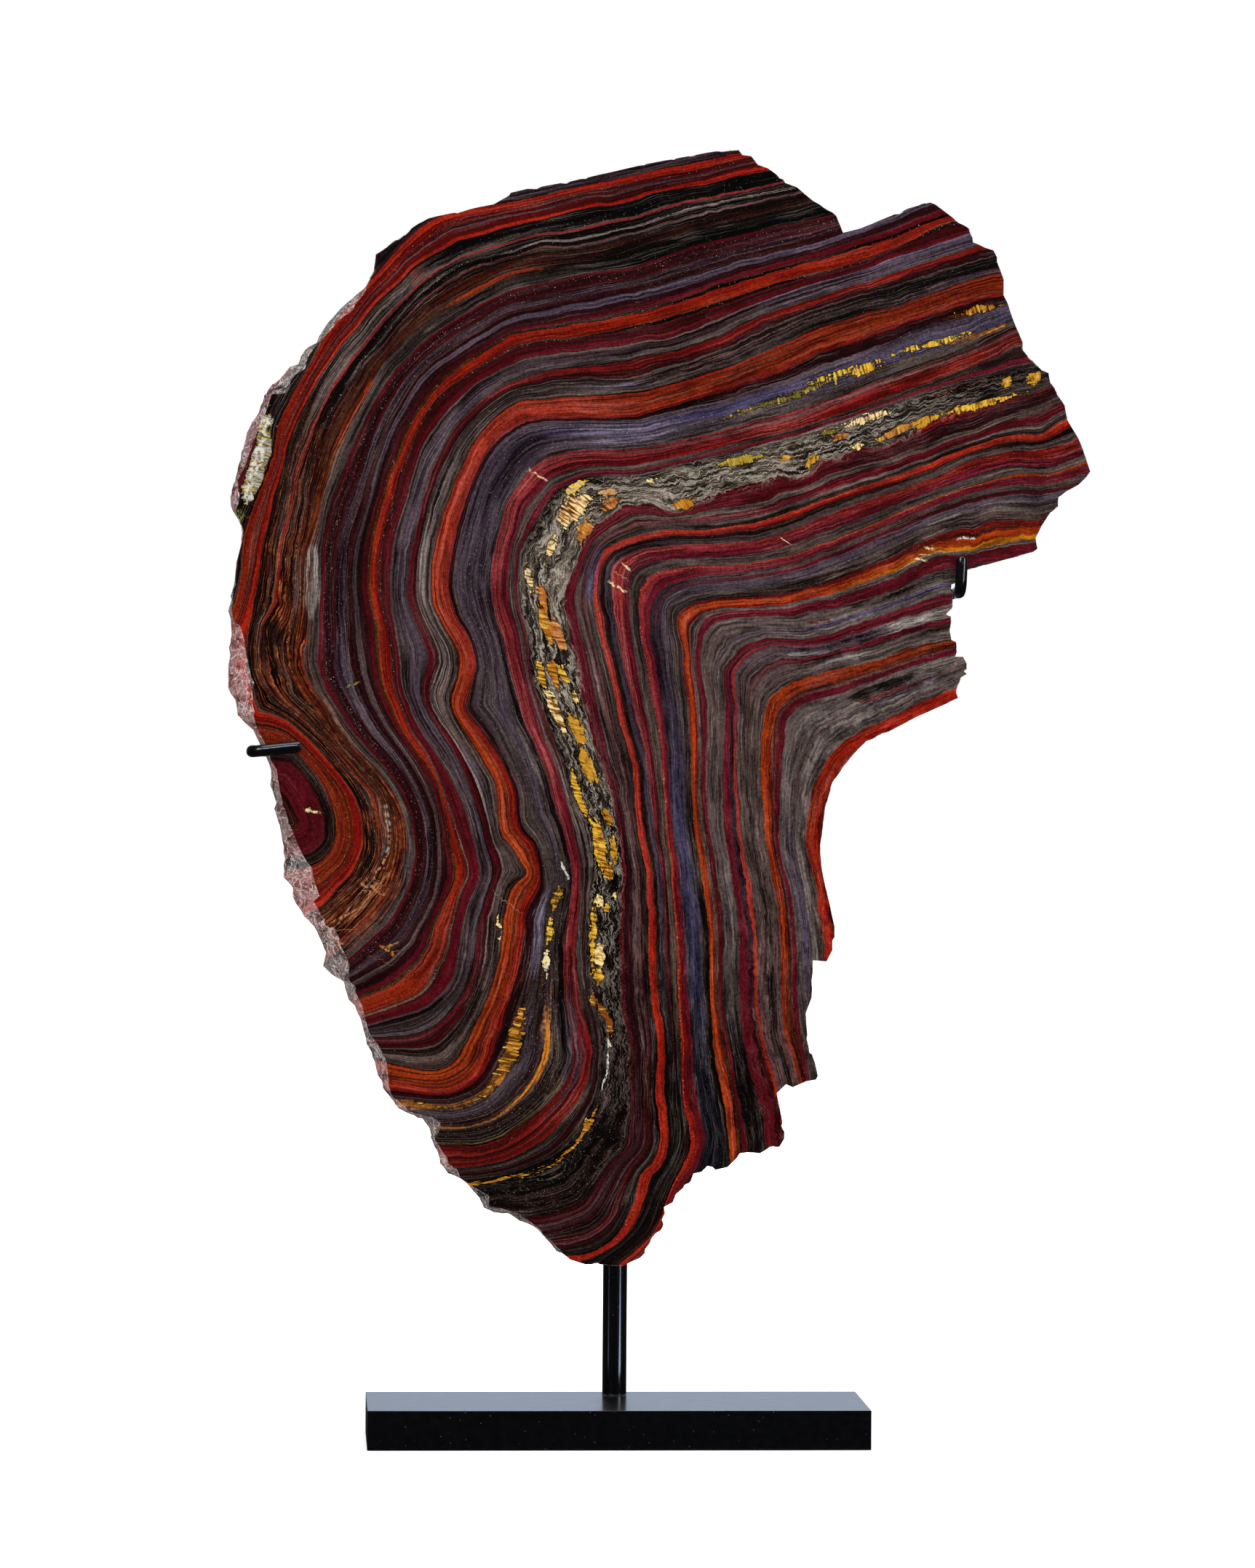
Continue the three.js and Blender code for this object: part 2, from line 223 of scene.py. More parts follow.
# Each guide follows one layer boundary round the fold on the polished face, as x and z in mm,
# from the end of the upper limb round to the foot. The first is the outermost.
layerGuides = [
    [(75, 661), (0, 644.5), (-50, 632.5), (-80, 626.5), (-97, 621), (-108, 613), (-118, 602), (-146, 569.5),
     (-157, 552), (-173, 522), (-178, 500), (-184, 482), (-189, 470), (-197, 432), (-206, 415), (-212, 395),
     (-206, 372), (-195, 358), (-190, 353), (-178, 352), (-168, 350.5), (-162, 347), (-151, 333),
     (-144.5, 315), (-147, 301), (-158, 292), (-180, 292)],
    [(75, 659), (50, 652.5), (-20, 636.5), (-50, 628.5), (-80, 622.5), (-93, 618), (-112, 601.5), (-140, 569),
     (-149, 556), (-163, 531), (-172, 508), (-174.5, 496), (-181, 472), (-183.5, 455), (-189, 415),
     (-191, 400), (-188, 375), (-186, 367.5), (-180, 367), (-174, 365.5), (-166, 360), (-144, 337),
     (-136, 325), (-132, 312), (-133, 300), (-138, 288.5), (-146, 280), (-151, 273), (-165, 266),
     (-180, 260)],
    [(85, 654), (60, 648.5), (20, 638), (0, 631.5), (-20, 627.5), (-50, 618.5), (-80, 612), (-90, 608),
     (-110, 592), (-140, 558), (-160, 522), (-164, 510), (-167, 500), (-171, 470), (-174, 455), (-177.5, 425),
     (-178.5, 412), (-177.5, 400), (-171, 380), (-150, 355), (-130, 326), (-126, 315), (-124.5, 305),
     (-125.5, 295), (-133, 283), (-146, 270), (-150, 266), (-175, 252)],
    [(110, 648), (90, 641), (50, 632), (-20, 614), (-45, 610), (-72, 602), (-88, 597), (-101, 588),
     (-111, 577), (-122, 562.5), (-134, 549), (-143, 532), (-152, 517), (-161, 483), (-166, 445),
     (-165.5, 430), (-168, 415), (-169, 402), (-167, 390), (-160, 377), (-152, 367), (-143, 355), (-124, 335),
     (-119, 325), (-117, 312), (-117.5, 300), (-122, 287), (-130, 277), (-146, 260), (-170, 246)],
    [(160, 648), (108, 632), (60, 619.5), (20, 610), (10, 606.5), (-10, 601.5), (-50, 596.5), (-70, 588.5),
     (-90, 577), (-100, 570), (-118, 552), (-126, 540), (-147, 500), (-158, 458), (-160.5, 450), (-162, 420),
     (-165, 400), (-165, 391), (-161, 383), (-152, 372), (-146, 362), (-138, 352), (-122, 336), (-112, 318),
     (-111, 298), (-116, 281), (-121, 273), (-133, 259), (-145, 249), (-160, 242)],
    [(160, 641), (112, 628), (60, 616.5), (30, 608), (20, 604), (10, 601), (-20, 595.5), (-40, 590),
     (-50, 588), (-70, 581), (-90, 570), (-110, 551), (-125, 530), (-140, 498), (-151, 465), (-153.5, 425),
     (-154.5, 400), (-153, 390), (-149, 380), (-135, 360), (-119, 341), (-108, 322), (-104.5, 300),
     (-107, 285), (-116, 266), (-138, 244.5), (-152, 236)],
    [(175, 641), (155, 634), (132, 624), (100, 613.8), (60, 603.5), (50, 599), (10, 586), (-20, 580),
     (-50, 573), (-60, 570.5), (-70, 565), (-90, 551.5), (-100, 542.5), (-108, 531.5), (-120, 507),
     (-128, 480), (-132, 468), (-135.5, 450), (-134.5, 428), (-129.5, 390), (-120, 366), (-105, 343),
     (-94.5, 320), (-92, 298), (-93, 285), (-97, 272), (-110, 252), (-132, 236), (-147, 229)],
    [(185, 633), (150, 623), (130, 616), (60, 595), (20, 580), (-50, 564.5), (-60, 561.5), (-70, 556),
     (-90, 541), (-104, 520.5), (-113.5, 500), (-119, 490), (-122, 480), (-126, 470), (-128.5, 452),
     (-127.8, 430), (-123, 410), (-121.5, 393), (-118, 380), (-108.5, 360), (-96, 341), (-91.5, 331),
     (-84.5, 300), (-84, 290), (-87, 280), (-95.5, 260), (-98.5, 250), (-103.5, 241), (-120, 229.5),
     (-145, 221)],
    [(190, 627), (168, 620), (150, 615.5), (130, 608.5), (80, 594.5), (40, 579.5), (-20, 564), (-40, 562),
     (-60, 556), (-90, 534.5), (-100, 521), (-109, 499), (-114, 490), (-121, 470), (-124.5, 452),
     (-124.3, 430), (-120, 410), (-118, 392), (-115, 380), (-106, 360), (-99, 350), (-90.5, 331), (-81, 300),
     (-80, 290), (-83, 280), (-89.5, 260), (-91, 250), (-98, 234), (-104, 228), (-112, 224), (-145, 212)],
    [(190, 624), (178, 619), (140, 608.5), (120, 601), (80, 587), (40, 568.5), (20, 562.5), (-20, 558),
     (-40, 555), (-60, 548), (-80, 534.5), (-95, 515), (-106, 492), (-110, 480), (-114, 470), (-117.5, 455),
     (-118, 428), (-112.5, 398), (-109.5, 380), (-100, 360), (-93.5, 350), (-82.5, 330), (-76, 310),
     (-73, 290), (-79, 270), (-82.5, 240), (-86, 232), (-93, 225), (-102, 219), (-130, 210), (-145, 207)],
    [(195, 614), (150, 600.5), (110, 586), (70, 568.5), (50, 558.5), (30, 551.5), (0, 546), (-20, 546),
     (-40, 543), (-60, 537), (-75, 526), (-88, 509), (-97, 490), (-102.5, 470), (-106.5, 443), (-106.5, 430),
     (-103.5, 420), (-96, 400), (-98, 390), (-100, 380), (-97.5, 370), (-84, 350), (-71, 320), (-66, 300),
     (-63, 292), (-66, 280), (-71.5, 260), (-73, 240), (-82, 220), (-98, 206), (-115, 203), (-145, 205)],
    [(205, 601), (194, 597.5), (180, 594.5), (120, 576), (100, 571), (60, 553), (20, 538), (0, 534),
     (-40, 531.5), (-57, 528), (-75, 510.5), (-84.5, 493), (-91.5, 472), (-95.5, 450), (-95.5, 430),
     (-92.5, 420), (-82.5, 401), (-83, 387), (-86, 380), (-85, 368.5), (-67, 343), (-62.5, 332), (-60, 311),
     (-56, 306), (-52.5, 300), (-50.5, 294), (-48.5, 290), (-50, 287), (-56, 280.5), (-59, 266), (-61, 245),
     (-67, 225), (-80, 197), (-84, 192), (-90, 188.5), (-98, 188), (-115, 191.5), (-140, 196)],
    [(205, 590), (180, 585.5), (140, 574.5), (100, 562.5), (80, 553.5), (20, 528.5), (0, 523.5), (-40, 523),
     (-58, 516.5), (-70, 503.5), (-77, 488), (-85, 458), (-88, 437), (-84.5, 420), (-79, 411), (-75.5, 403),
     (-74, 395), (-75.5, 387), (-79.5, 374), (-76.5, 368), (-64, 352), (-53.5, 331), (-52, 320), (-50, 311),
     (-45, 306), (-42, 300), (-40.5, 287), (-42, 281), (-48.5, 270), (-50.5, 250), (-54.5, 230), (-62.5, 210),
     (-69, 192), (-74, 184.5), (-82, 179.5), (-92, 177.5), (-117, 180.5), (-135, 182)],
    [(215, 573), (170, 557), (150, 551.5), (90, 531), (70, 525), (50, 518), (10, 507), (-20, 504),
     (-38, 498.5), (-52, 487), (-61.5, 470), (-66.5, 440), (-64, 420), (-60.5, 410), (-51.5, 370), (-43, 350),
     (-26.8, 300), (-25.5, 280), (-27, 270), (-28.5, 248), (-27, 225), (-23.5, 203), (-24, 192), (-28, 181),
     (-35, 171.5), (-54, 156), (-65, 151.5), (-78, 149), (-105, 151)],
    [(222, 569), (200, 563), (190, 559), (150, 545.5), (90, 522), (70, 516.5), (50, 510), (10, 500),
     (-20, 496.5), (-37, 491), (-49, 479.5), (-54, 470), (-58.8, 450), (-59, 430), (-54, 410), (-50, 390),
     (-41, 360), (-36, 350), (-28.5, 330), (-20.5, 300), (-19.5, 290), (-20.7, 248), (-18.5, 225),
     (-14.3, 203), (-14.5, 192), (-17.5, 181), (-24, 170.5), (-33, 160.5), (-44, 151.5), (-56, 145),
     (-80, 140), (-105, 140)],
    [(235, 556), (215, 550), (180, 541), (160, 534), (140, 528), (120, 521), (100, 516), (80, 510), (40, 500),
     (20, 494), (0, 490), (-20, 487.5), (-33, 478), (-38, 470), (-45, 460), (-49.5, 450), (-48.5, 430),
     (-43.5, 410), (-43.5, 393), (-42, 385), (-36, 369), (-32, 361), (-27, 345), (-22, 325), (-16, 312),
     (-13, 290), (-14.5, 278), (-14.5, 245), (-12.5, 225), (-8, 209), (-9.5, 178), (-19, 157), (-28, 146.5),
     (-40, 139.5), (-65, 133), (-92, 131)],
    [(240, 547), (210, 537), (200, 535), (180, 529.5), (170, 528), (160, 524.5), (140, 513.5), (130, 509.5),
     (122, 508), (115, 505), (100, 500), (95, 495), (80, 494), (70, 490.5), (50, 485.5), (38, 478.5),
     (35, 475.5), (28, 474.5), (22, 475.5), (18, 478), (3, 479.5), (-11, 468.5), (-19, 460), (-20, 455),
     (-28, 437), (-29, 424), (-23, 398), (-16.5, 366), (-8, 338), (-5, 331), (-0.5, 300), (1, 240), (1, 222),
     (6, 200), (4.5, 158), (3, 150), (-6, 141.5), (-14, 128.5), (-19, 122.5), (-26, 119), (-36, 116.5),
     (-48, 115.5), (-62, 116)],
    [(238, 527), (228, 523.5), (216, 516.8), (210, 515.8), (203, 516.5), (190, 514), (170, 507), (150, 497.2),
     (110, 483), (90, 477), (70, 470.3), (45, 466.8), (20, 466.2), (-6, 456.5), (-13.3, 446), (-14.3, 438),
     (-12.8, 418), (-7, 399), (1.8, 360), (7, 340), (9.3, 309), (13.3, 291), (15.2, 270), (15.8, 246),
     (20.4, 202), (20, 180), (22.2, 153), (17, 141), (12, 136), (4.8, 115.5), (-3, 103), (-17, 95.5),
     (-40, 92)],
    [(240, 523), (229, 521), (222, 516.5), (215, 513.3), (208, 512.8), (200, 514), (190, 511.3), (170, 503.8),
     (150, 494), (90, 473.5), (70, 467.5), (45, 464), (20, 463.5), (0, 456.3), (-5, 453.5), (-10.8, 445),
     (-11.5, 428), (-7.5, 408), (-4.5, 399), (4.2, 360), (9.6, 340), (12.2, 309), (17.8, 280), (19.8, 235),
     (24.3, 202), (24.4, 180), (26.2, 154), (23, 140.5), (18, 136), (15, 130), (10.5, 115.5), (4.5, 104.5),
     (-1, 99), (-16, 92), (-28, 90)],
    [(240, 514), (225, 510), (210, 507.5), (200, 508), (180, 504), (160, 494.5), (110, 476), (90, 467.3),
     (70, 461.3), (50, 459), (30, 458), (10, 453), (0, 445), (0, 428), (3, 398), (11, 358), (13.5, 348),
     (18.2, 308), (20.5, 299), (23, 278), (23.8, 250), (28, 200), (28.5, 175), (29.5, 155), (26, 140),
     (22, 134), (13, 112), (4, 101), (-10, 92), (-20, 88)],
    [(250, 507), (228, 499.5), (218, 496.5), (205, 497.5), (195, 496.7), (180, 492.2), (140, 477.7),
     (85, 454.8), (55, 448), (40, 446.7), (20, 442.7), (10.8, 436.5), (9.2, 430), (10.2, 410), (17.5, 370),
     (21.4, 340), (23.3, 310), (26.5, 290), (29.8, 245), (31.2, 212), (34, 172), (36.8, 155), (32.5, 140.5),
     (28, 133.5), (19, 110), (14, 103), (0, 90)],
    [(245, 497), (235, 494.5), (220, 490), (195, 489.5), (180, 487.5), (160, 480.5), (100, 455.7),
     (85, 449.5), (55, 442.6), (40, 441), (23, 436.3), (15.3, 427.5), (14.5, 410), (16.8, 400), (22.7, 360),
     (27.2, 310), (31, 290), (34.5, 260), (36, 230), (41.3, 172), (44.2, 154), (40, 141), (36, 136),
     (31, 128), (24, 110), (19, 101), (13, 94), (5, 87)],
    [(230, 477), (217, 472.5), (197, 470.8), (191, 471), (181, 466.5), (175, 466.3), (165, 464), (150, 457.5),
     (110, 440), (80, 431.7), (50, 429), (36.5, 424.8), (31.3, 416), (32.2, 400), (32, 393), (35, 374),
     (36.9, 350), (37.1, 338), (39.3, 312), (43, 290), (46.7, 259), (49, 214), (57, 160), (58, 128)],
    [(228, 467), (212, 463), (200, 461.2), (185, 458), (160, 454.5), (150, 449.5), (135, 442), (105, 431.5),
     (75, 426), (50, 424.5), (39, 418), (36, 405), (36.5, 388), (39.3, 370), (40.5, 330), (45.8, 291),
     (49.8, 259), (52.8, 214), (61, 160), (63, 128)],
    [(185, 437), (171, 433), (160, 430.7), (130, 420.2), (100, 411), (74, 409.2), (62, 403.3), (54, 396),
     (52.5, 391), (54, 372), (53, 350), (54, 314), (58.7, 290), (61.7, 260), (62.5, 215), (71, 176),
     (74.5, 163), (77, 138)],
    [(185, 432), (120, 412), (100, 407.3), (80, 407), (69, 403), (60, 396.5), (57.5, 392.5), (57.5, 385),
     (58.7, 377), (58.6, 355), (60.3, 320), (63.5, 298), (66.5, 287), (69.8, 258), (71.5, 214), (78.5, 187),
     (86, 156), (87, 145)],
    [(185, 414), (160, 407.7), (140, 401), (110, 394.7), (92, 390), (80.5, 382.7), (74, 371.5), (72.5, 338),
     (75, 313), (79.2, 289), (82.5, 260), (84.5, 217), (89.8, 192), (94, 170)],
    [(185, 406), (160, 399.3), (110, 382), (94, 377.3), (86, 369.5), (84.3, 362), (82, 330), (84, 305),
     (90.5, 262), (92.8, 220), (97.7, 193), (103, 172)],
    [(185, 392), (145, 373), (118, 362.3), (105.5, 352), (98.7, 337), (95.7, 314), (97.3, 291), (103.5, 252),
     (107, 225)],
]
# Height of each guide in the pile of layers, in mm
guideLevels = [0, 7, 18, 27, 37, 44, 62, 72, 78, 86, 98, 110, 120, 145, 153, 165, 188, 206, 209, 214, 227,
               232, 250, 255, 272, 277, 293, 304, 322]
foldMiddle = (190, 240)  # the fold is wound round this point; 'turn' is the angle seen from it, in degrees
stations = (95, 115, 137, 162, 200)  # turns at which the log names a layer's colour
thinnestPacket = 0.6  # mm, in the evened pile
thinnestHere = 0.05  # mm, where a packet pinches out
lastPacket = 16  # mm of stone beyond the last height in the log

# The layer log. A packet starts at a height that wanders along the fold, {turn: height}, and holds layers:
# (share of the packet, colours at the five stations, how laminated, how speckled)
layerLog = [
    ({90: -40}, [(0, "umber umber crimson crimson crimson", 0.2, 0.1)]),
    ({100: -6, 138: -6, 141: -9, 150: -9, 152: -3, 160: -5, 166: -5, 172: -6}, [
      (0, "umber plum charcoal umber umber", 0.8, 0.2)]),
    ({105: 0, 123: 0.3, 125: -0.6, 136: -0.6, 139: 1, 150: -0.5, 154: 2, 162: 0.5, 165: -0.3, 172: 0.3}, [
      (0, "brightRed brightRed orangeRed ember ember", 0.3, 0.25),
      (0.26, "red red red ember orange", 0.4, 0.5),
      (0.42, "deepCrimson deepCrimson red ember orange", 0.4, 0.6),
      (0.6, "crimson deepCrimson deepCrimson rust ember", 0.3, 0.3),
      (0.69, "taupe taupe taupe ember ember", 0.4, 0.6),
      (0.74, "crimson deepCrimson red red brightRed", 0.4, 0.2)]),
    ({106: 17.5, 110: 17.8, 113: 16.5, 115: 15, 117: 16, 120: 14.5, 122: 13.5, 125: 15, 127: 16, 130: 14,
      131: 15.5, 133: 12.5, 135: 14, 137: 11.5, 139: 10, 143: 9, 145: 7.5, 148: 7, 150: 6, 153: 5.5, 156: 5,
      160: 6, 162: 8.5, 165: 7.5, 170: 6.5, 174: 6}, [
      (0, "brightRed brightRed brightRed brightRed brightRed", 0.3, 0.1)]),
    ({106: 19.5, 110: 19.8, 113: 18.3, 115: 17.4, 117: 18, 120: 16.4, 122: 15.6, 125: 17, 127: 18, 130: 16,
      131: 17.5, 133: 14.5, 135: 16, 137: 13.5, 139: 12, 143: 11, 145: 9.5, 148: 9, 150: 8, 153: 7.5, 156: 7,
      160: 8, 162: 10.5, 165: 9.5, 170: 8.5, 174: 8}, [
      (0, "black black umber umber umber", 1, 0.3),
      (0.55, "charcoal black taupe umber umber", 1, 0.5)]),
    ({105: 24, 108: 24.5, 112: 23.5, 118: 24, 122: 22.7, 125: 23, 128: 24.5, 131: 24.5, 134: 23, 136: 24,
      139: 21.5, 141: 22.5, 143: 22, 145: 20, 148: 18, 153: 18, 155: 13.5, 158: 12, 160: 15.5, 162: 19.5,
      164: 21, 168: 19.5, 172: 20.5, 174: 19.5}, [
      (0, "rose rose rose ember brown", 0.2, 0.1)]),
    ({105: 25, 108: 25.5, 112: 24.5, 118: 25, 122: 23.7, 125: 24, 128: 25.5, 131: 25.5, 134: 24, 136: 25,
      139: 22.5, 141: 23.5, 143: 23.2, 145: 21.4, 148: 19.4, 153: 19.4, 155: 15, 158: 13.4, 160: 17, 162: 21,
      164: 22.2, 168: 20.8, 172: 21.8, 174: 20.7}, [
      (0, "charcoal charcoal charcoal rust umber", 0.8, 0.4)]),
    ({104: 26.3, 108: 26.3, 112: 25.8, 115: 26.8, 118: 27.3, 122: 25.8, 124: 26.8, 126: 25.8, 130: 27.2,
      133: 26.3, 136: 27.2, 139: 26.2, 142: 26.2, 146: 27, 180: 27}, [
      (0, "grey paleGrey grey rust umber", 1, 1)]),
    ({104: 27.3, 108: 27.3, 112: 26.8, 115: 27.9, 118: 28.4, 122: 26.9, 124: 28, 126: 27.1, 130: 28.6,
      133: 27.5, 136: 28.6, 139: 27.5, 142: 27.5, 146: 28, 180: 28}, [
      (0, "charcoal charcoal charcoal rust umber", 0.8, 0.3),
      (0.4, "rosyGrey rosyGrey crimson rust umber", 0.5, 0.6),
      (0.58, "charcoal charcoal brown rust umber", 0.8, 0.3)]),
    ({100: 31.5, 115: 31.5, 125: 32, 135: 32, 150: 31, 160: 30, 165: 30, 175: 31}, [
      (0, "umber brown rust rust brown", 0.7, 0.2),
      (0.6, "charcoal charcoal rust ember umber", 0.7, 0.2)]),
    ({100: 36, 115: 36, 120: 37, 124: 38, 130: 37.5, 134: 36, 140: 37, 150: 38, 156: 40, 163: 38, 180: 38}, [
      (0, "black black steel steel steel", 0.9, 0.3)]),
    ({100: 44, 110: 44.5, 113: 43, 118: 45.5, 122: 44, 126: 44, 130: 46.5, 133: 44.5, 136: 43.5, 140: 44,
      160: 44, 170: 44.5, 180: 44}, [
      (0, "deepCrimson crimson crimson crimson crimson", 0.2, 0.2),
      (0.11, "maroon maroon maroon maroon maroon", 0.3, 0.7),
      (0.38, "deepCrimson deepCrimson deepCrimson maroon maroon", 0.3, 0.3),
      (0.5, "maroon plum plum plum plum", 0.8, 0.6),
      (0.78, "deepCrimson maroon maroon maroon maroon", 0.4, 0.3)]),
    ({95: 61, 100: 61.5, 104: 63.5, 108: 63, 112: 61.5, 116: 61, 124: 61, 126: 60.5, 128: 62.5, 131: 62,
      135: 60.5, 139: 60, 142: 61, 145: 62, 148: 60.5, 152: 60, 159: 60, 163: 61.5, 168: 61, 172: 62,
      178: 63}, [
      (0, "lavender lavender greyLavender taupe taupe", 0.6, 0.3),
      (0.4, "plum plum greyLavender taupe taupe", 0.8, 0.2),
      (0.55, "lavender lavender greyLavender taupe taupe", 0.6, 0.3)]),
    ({95: 64.5, 100: 65.5, 104: 67.5, 108: 67, 112: 66, 116: 65.5, 124: 65.3, 126: 64, 128: 65.5, 131: 65,
      135: 63.5, 139: 62.7, 142: 63.5, 145: 64.5, 148: 63, 152: 62.5, 157: 63, 163: 63.5, 168: 63, 172: 64,
      178: 65}, [
      (0, "maroon maroon maroon maroon maroon", 0.3, 0.1),
      (0.55, "crimson crimson deepCrimson crimson crimson", 0.2, 0.1)]),
    ({94: 72, 98: 73.3, 104: 73.8, 108: 73.6, 112: 72.6, 116: 71.8, 124: 71.6, 127: 70.3, 130: 72, 134: 70.2,
      138: 68.8, 141: 70.6, 144: 73, 148: 71.2, 152: 69.4, 158: 68.5, 163: 70.5, 167: 69, 171: 72, 175: 71.6,
      180: 70.8}, [
      (0, "black black olive olive umber", 0.5, 0.7)]),
    ({94: 73, 98: 74.3, 104: 75, 108: 75, 112: 74, 116: 73.4, 124: 73, 127: 71.8, 130: 73.6, 134: 71.8,
      138: 70.2, 141: 72, 144: 74.4, 148: 72.4, 152: 71, 158: 70, 163: 72.2, 167: 70.6, 171: 74, 175: 73,
      180: 72}, [
      (0, "orangeRed orangeRed orangeRed orangeRed ember", 0.35, 0.1),
      (0.7, "orangeRed ember red red ember", 0.5, 0.1)]),
    ({94: 75, 96: 77.5, 100: 84, 104: 82, 108: 80.4, 112: 79.3, 116: 78.8, 120: 79.3, 124: 79.6, 128: 79.1,
      132: 78.5, 136: 76.5, 138: 75.3, 140: 77.3, 142: 79.7, 146: 79.4, 150: 78.8, 152: 80.5, 155: 78.4,
      160: 78, 165: 77.5, 170: 80, 175: 80.5, 180: 79, 183: 79.5}, [
      (0, "black black umber oliveGrey oliveGrey", 0.7, 0.9)]),
    ({94: 76.5, 96: 79, 100: 85.2, 104: 83.5, 108: 81.8, 112: 80.6, 116: 80, 120: 80.6, 124: 80.6, 128: 80.2,
      132: 79.6, 136: 77.6, 138: 76.4, 140: 78.5, 142: 81, 146: 80.6, 150: 80.4, 152: 82.6, 155: 80,
      160: 79.5, 165: 79, 170: 81.5, 175: 82, 180: 80.4, 183: 80.6}, [
      (0, "deepCrimson deepCrimson deepCrimson crimson crimson", 0.2, 0.05),
      (0.6, "crimson crimson crimson crimson crimson", 0.2, 0.05)]),
    ({92: 87, 96: 88.6, 100: 89.4, 104: 88, 108: 87, 112: 86, 116: 85.5, 120: 87, 124: 88.3, 128: 87,
      132: 86.5, 136: 85, 138: 83, 140: 86, 144: 87.5, 148: 86, 152: 85, 157: 84, 162: 86, 166: 86, 170: 88.6,
      174: 87, 178: 85.5, 186: 85.5}, [
      (0, "paleLavender grey grey steel steel", 0.3, 0.2),
      (0.1, "lavender umber steel plum plum", 0.9, 0.2),
      (0.3, "lavender steel greyLavender steel steel", 0.8, 0.2),
      (0.42, "plum maroon greyLavender plum steel", 0.7, 0.2),
      (0.6, "lavender grey greyLavender greyLavender steel", 0.6, 0.2),
      (0.9, "grey charcoal taupe charcoal charcoal", 0.5, 0.2)]),
    ({92: 95.8, 96: 96.6, 100: 96.8, 104: 95.4, 108: 93.6, 112: 93, 116: 92.6, 120: 93.6, 124: 96, 128: 97,
      132: 97, 136: 96.5, 140: 97.2, 144: 97, 148: 96, 152: 97, 156: 97.6, 160: 97.2, 165: 96.5, 170: 97.2,
      175: 96.8, 180: 96.4}, [
      (0, "red red crimson crimson crimson", 0.5, 0.1)]),
    ({92: 99, 96: 99.8, 100: 100, 104: 98.6, 108: 97, 112: 96.4, 116: 96, 120: 97, 124: 99, 128: 99.6,
      132: 99.5, 136: 99, 140: 99.4, 144: 99, 148: 98.2, 152: 99, 156: 99.8, 160: 99.4, 165: 98.8, 170: 99.4,
      175: 99, 180: 98.6}, [
      (0, "maroon deepCrimson deepCrimson deepCrimson deepCrimson", 0.5, 0.1)]),
    ({92: 102.2, 100: 101.8, 108: 100.4, 114: 99.4, 118: 99.9, 122: 102.2, 126: 102, 135: 101.4, 140: 100.4,
      150: 100.4, 160: 101, 170: 101.5, 185: 102}, [
      (0, "steel grey grey paleGrey umber", 0.8, 0.3),
      (0.09, "charcoal umber steel taupe umber", 1, 0.4),
      (0.4, "charcoal steel grey taupe taupe", 1, 0.4),
      (0.6, "plum steel grey taupe umber", 1, 0.4),
      (0.92, "brown charcoal rust rust umber", 0.5, 0.2)]),
    ({89: 109.5, 92: 110, 96: 111.5, 98: 112.5, 101: 110.5, 104: 113, 106: 114, 110: 112.5, 113: 113,
      116: 112, 120: 110, 124: 110, 128: 111, 132: 110.5, 136: 112, 140: 111, 144: 109.5, 148: 109.5,
      152: 110, 155: 112, 158: 109.5, 163: 109, 165: 108, 168: 112, 170: 110.5, 195: 110}, [
      (0, "ember orangeRed coral orange orange", 0.3, 0.2),
      (0.13, "brown rust ember ember rust", 0.3, 0.1),
      (0.18, "ember ember coral orange orange", 0.5, 0.1),
      (0.38, "ember ember coral ember ember", 0.5, 0.1),
      (0.42, "rust rust coral rust rust", 0.4, 0.1),
      (0.46, "ember ember coral ember ember", 0.5, 0.1),
      (0.66, "rust ember coral orangeRed rust", 0.4, 0.1),
      (0.7, "ember ember coral orangeRed orangeRed", 0.4, 0.1),
      (0.86, "red red rose red red", 0.4, 0.1)]),
    ({89: 122, 92: 122, 96: 123.5, 100: 125, 104: 126.5, 108: 127, 112: 126.5, 116: 125, 120: 122.5, 124: 122,
      128: 123, 132: 122, 136: 121, 140: 120, 152: 120.4, 165: 119.5, 170: 121, 175: 122, 180: 121,
      190: 122}, [
      (0, "maroon deepMaroon maroon maroon maroon", 0.6, 0.2)]),
    ({88: 124, 92: 128, 96: 128.5, 100: 131, 104: 132, 112: 131.5, 116: 130, 120: 126, 124: 124, 128: 123.6,
      132: 123, 138: 122.5, 150: 122, 155: 123.5, 158: 122, 165: 121, 168: 123, 172: 126, 176: 127, 180: 126,
      185: 125, 190: 124, 200: 123}, [
      (0, "greyLavender greyLavender purpleGrey taupe maroon", 0.6, 0.5),
      (0.16, "lavender indigo purpleGrey steel umber", 0.45, 0.6),
      (0.5, "indigo greyLavender plumDark purpleGrey brown", 0.5, 0.6),
      (0.66, "steel greyLavender purpleGrey steel umber", 0.7, 0.6),
      (0.86, "umber grey plumDark charcoal charcoal", 0.9, 0.3)]),
    ({88: 143, 92: 146, 96: 148.6, 100: 149, 106: 149, 112: 148.6, 116: 147.6, 120: 147, 124: 146, 128: 144,
      131: 142.4, 134: 144, 138: 146, 142: 145, 146: 144.4, 150: 146, 155: 147, 160: 146, 165: 146, 170: 147,
      175: 145.5, 185: 144.6, 205: 145}, [
      (0, "crimson rose rose wine red", 0.6, 0.3),
      (0.16, "rosyGrey rosyGrey rose wine red", 0.7, 0.4),
      (0.3, "red rose rose rose red", 0.7, 0.2),
      (0.62, "red red wine wine red", 0.6, 0.2)]),
    ({88: 155, 92: 157.4, 100: 158.6, 108: 159, 112: 158.4, 116: 157.6, 120: 156.6, 125: 155.2, 130: 153,
      133: 155, 137: 156, 141: 156, 143: 154.4, 147: 156, 150: 156, 155: 154, 160: 153, 165: 152, 170: 153,
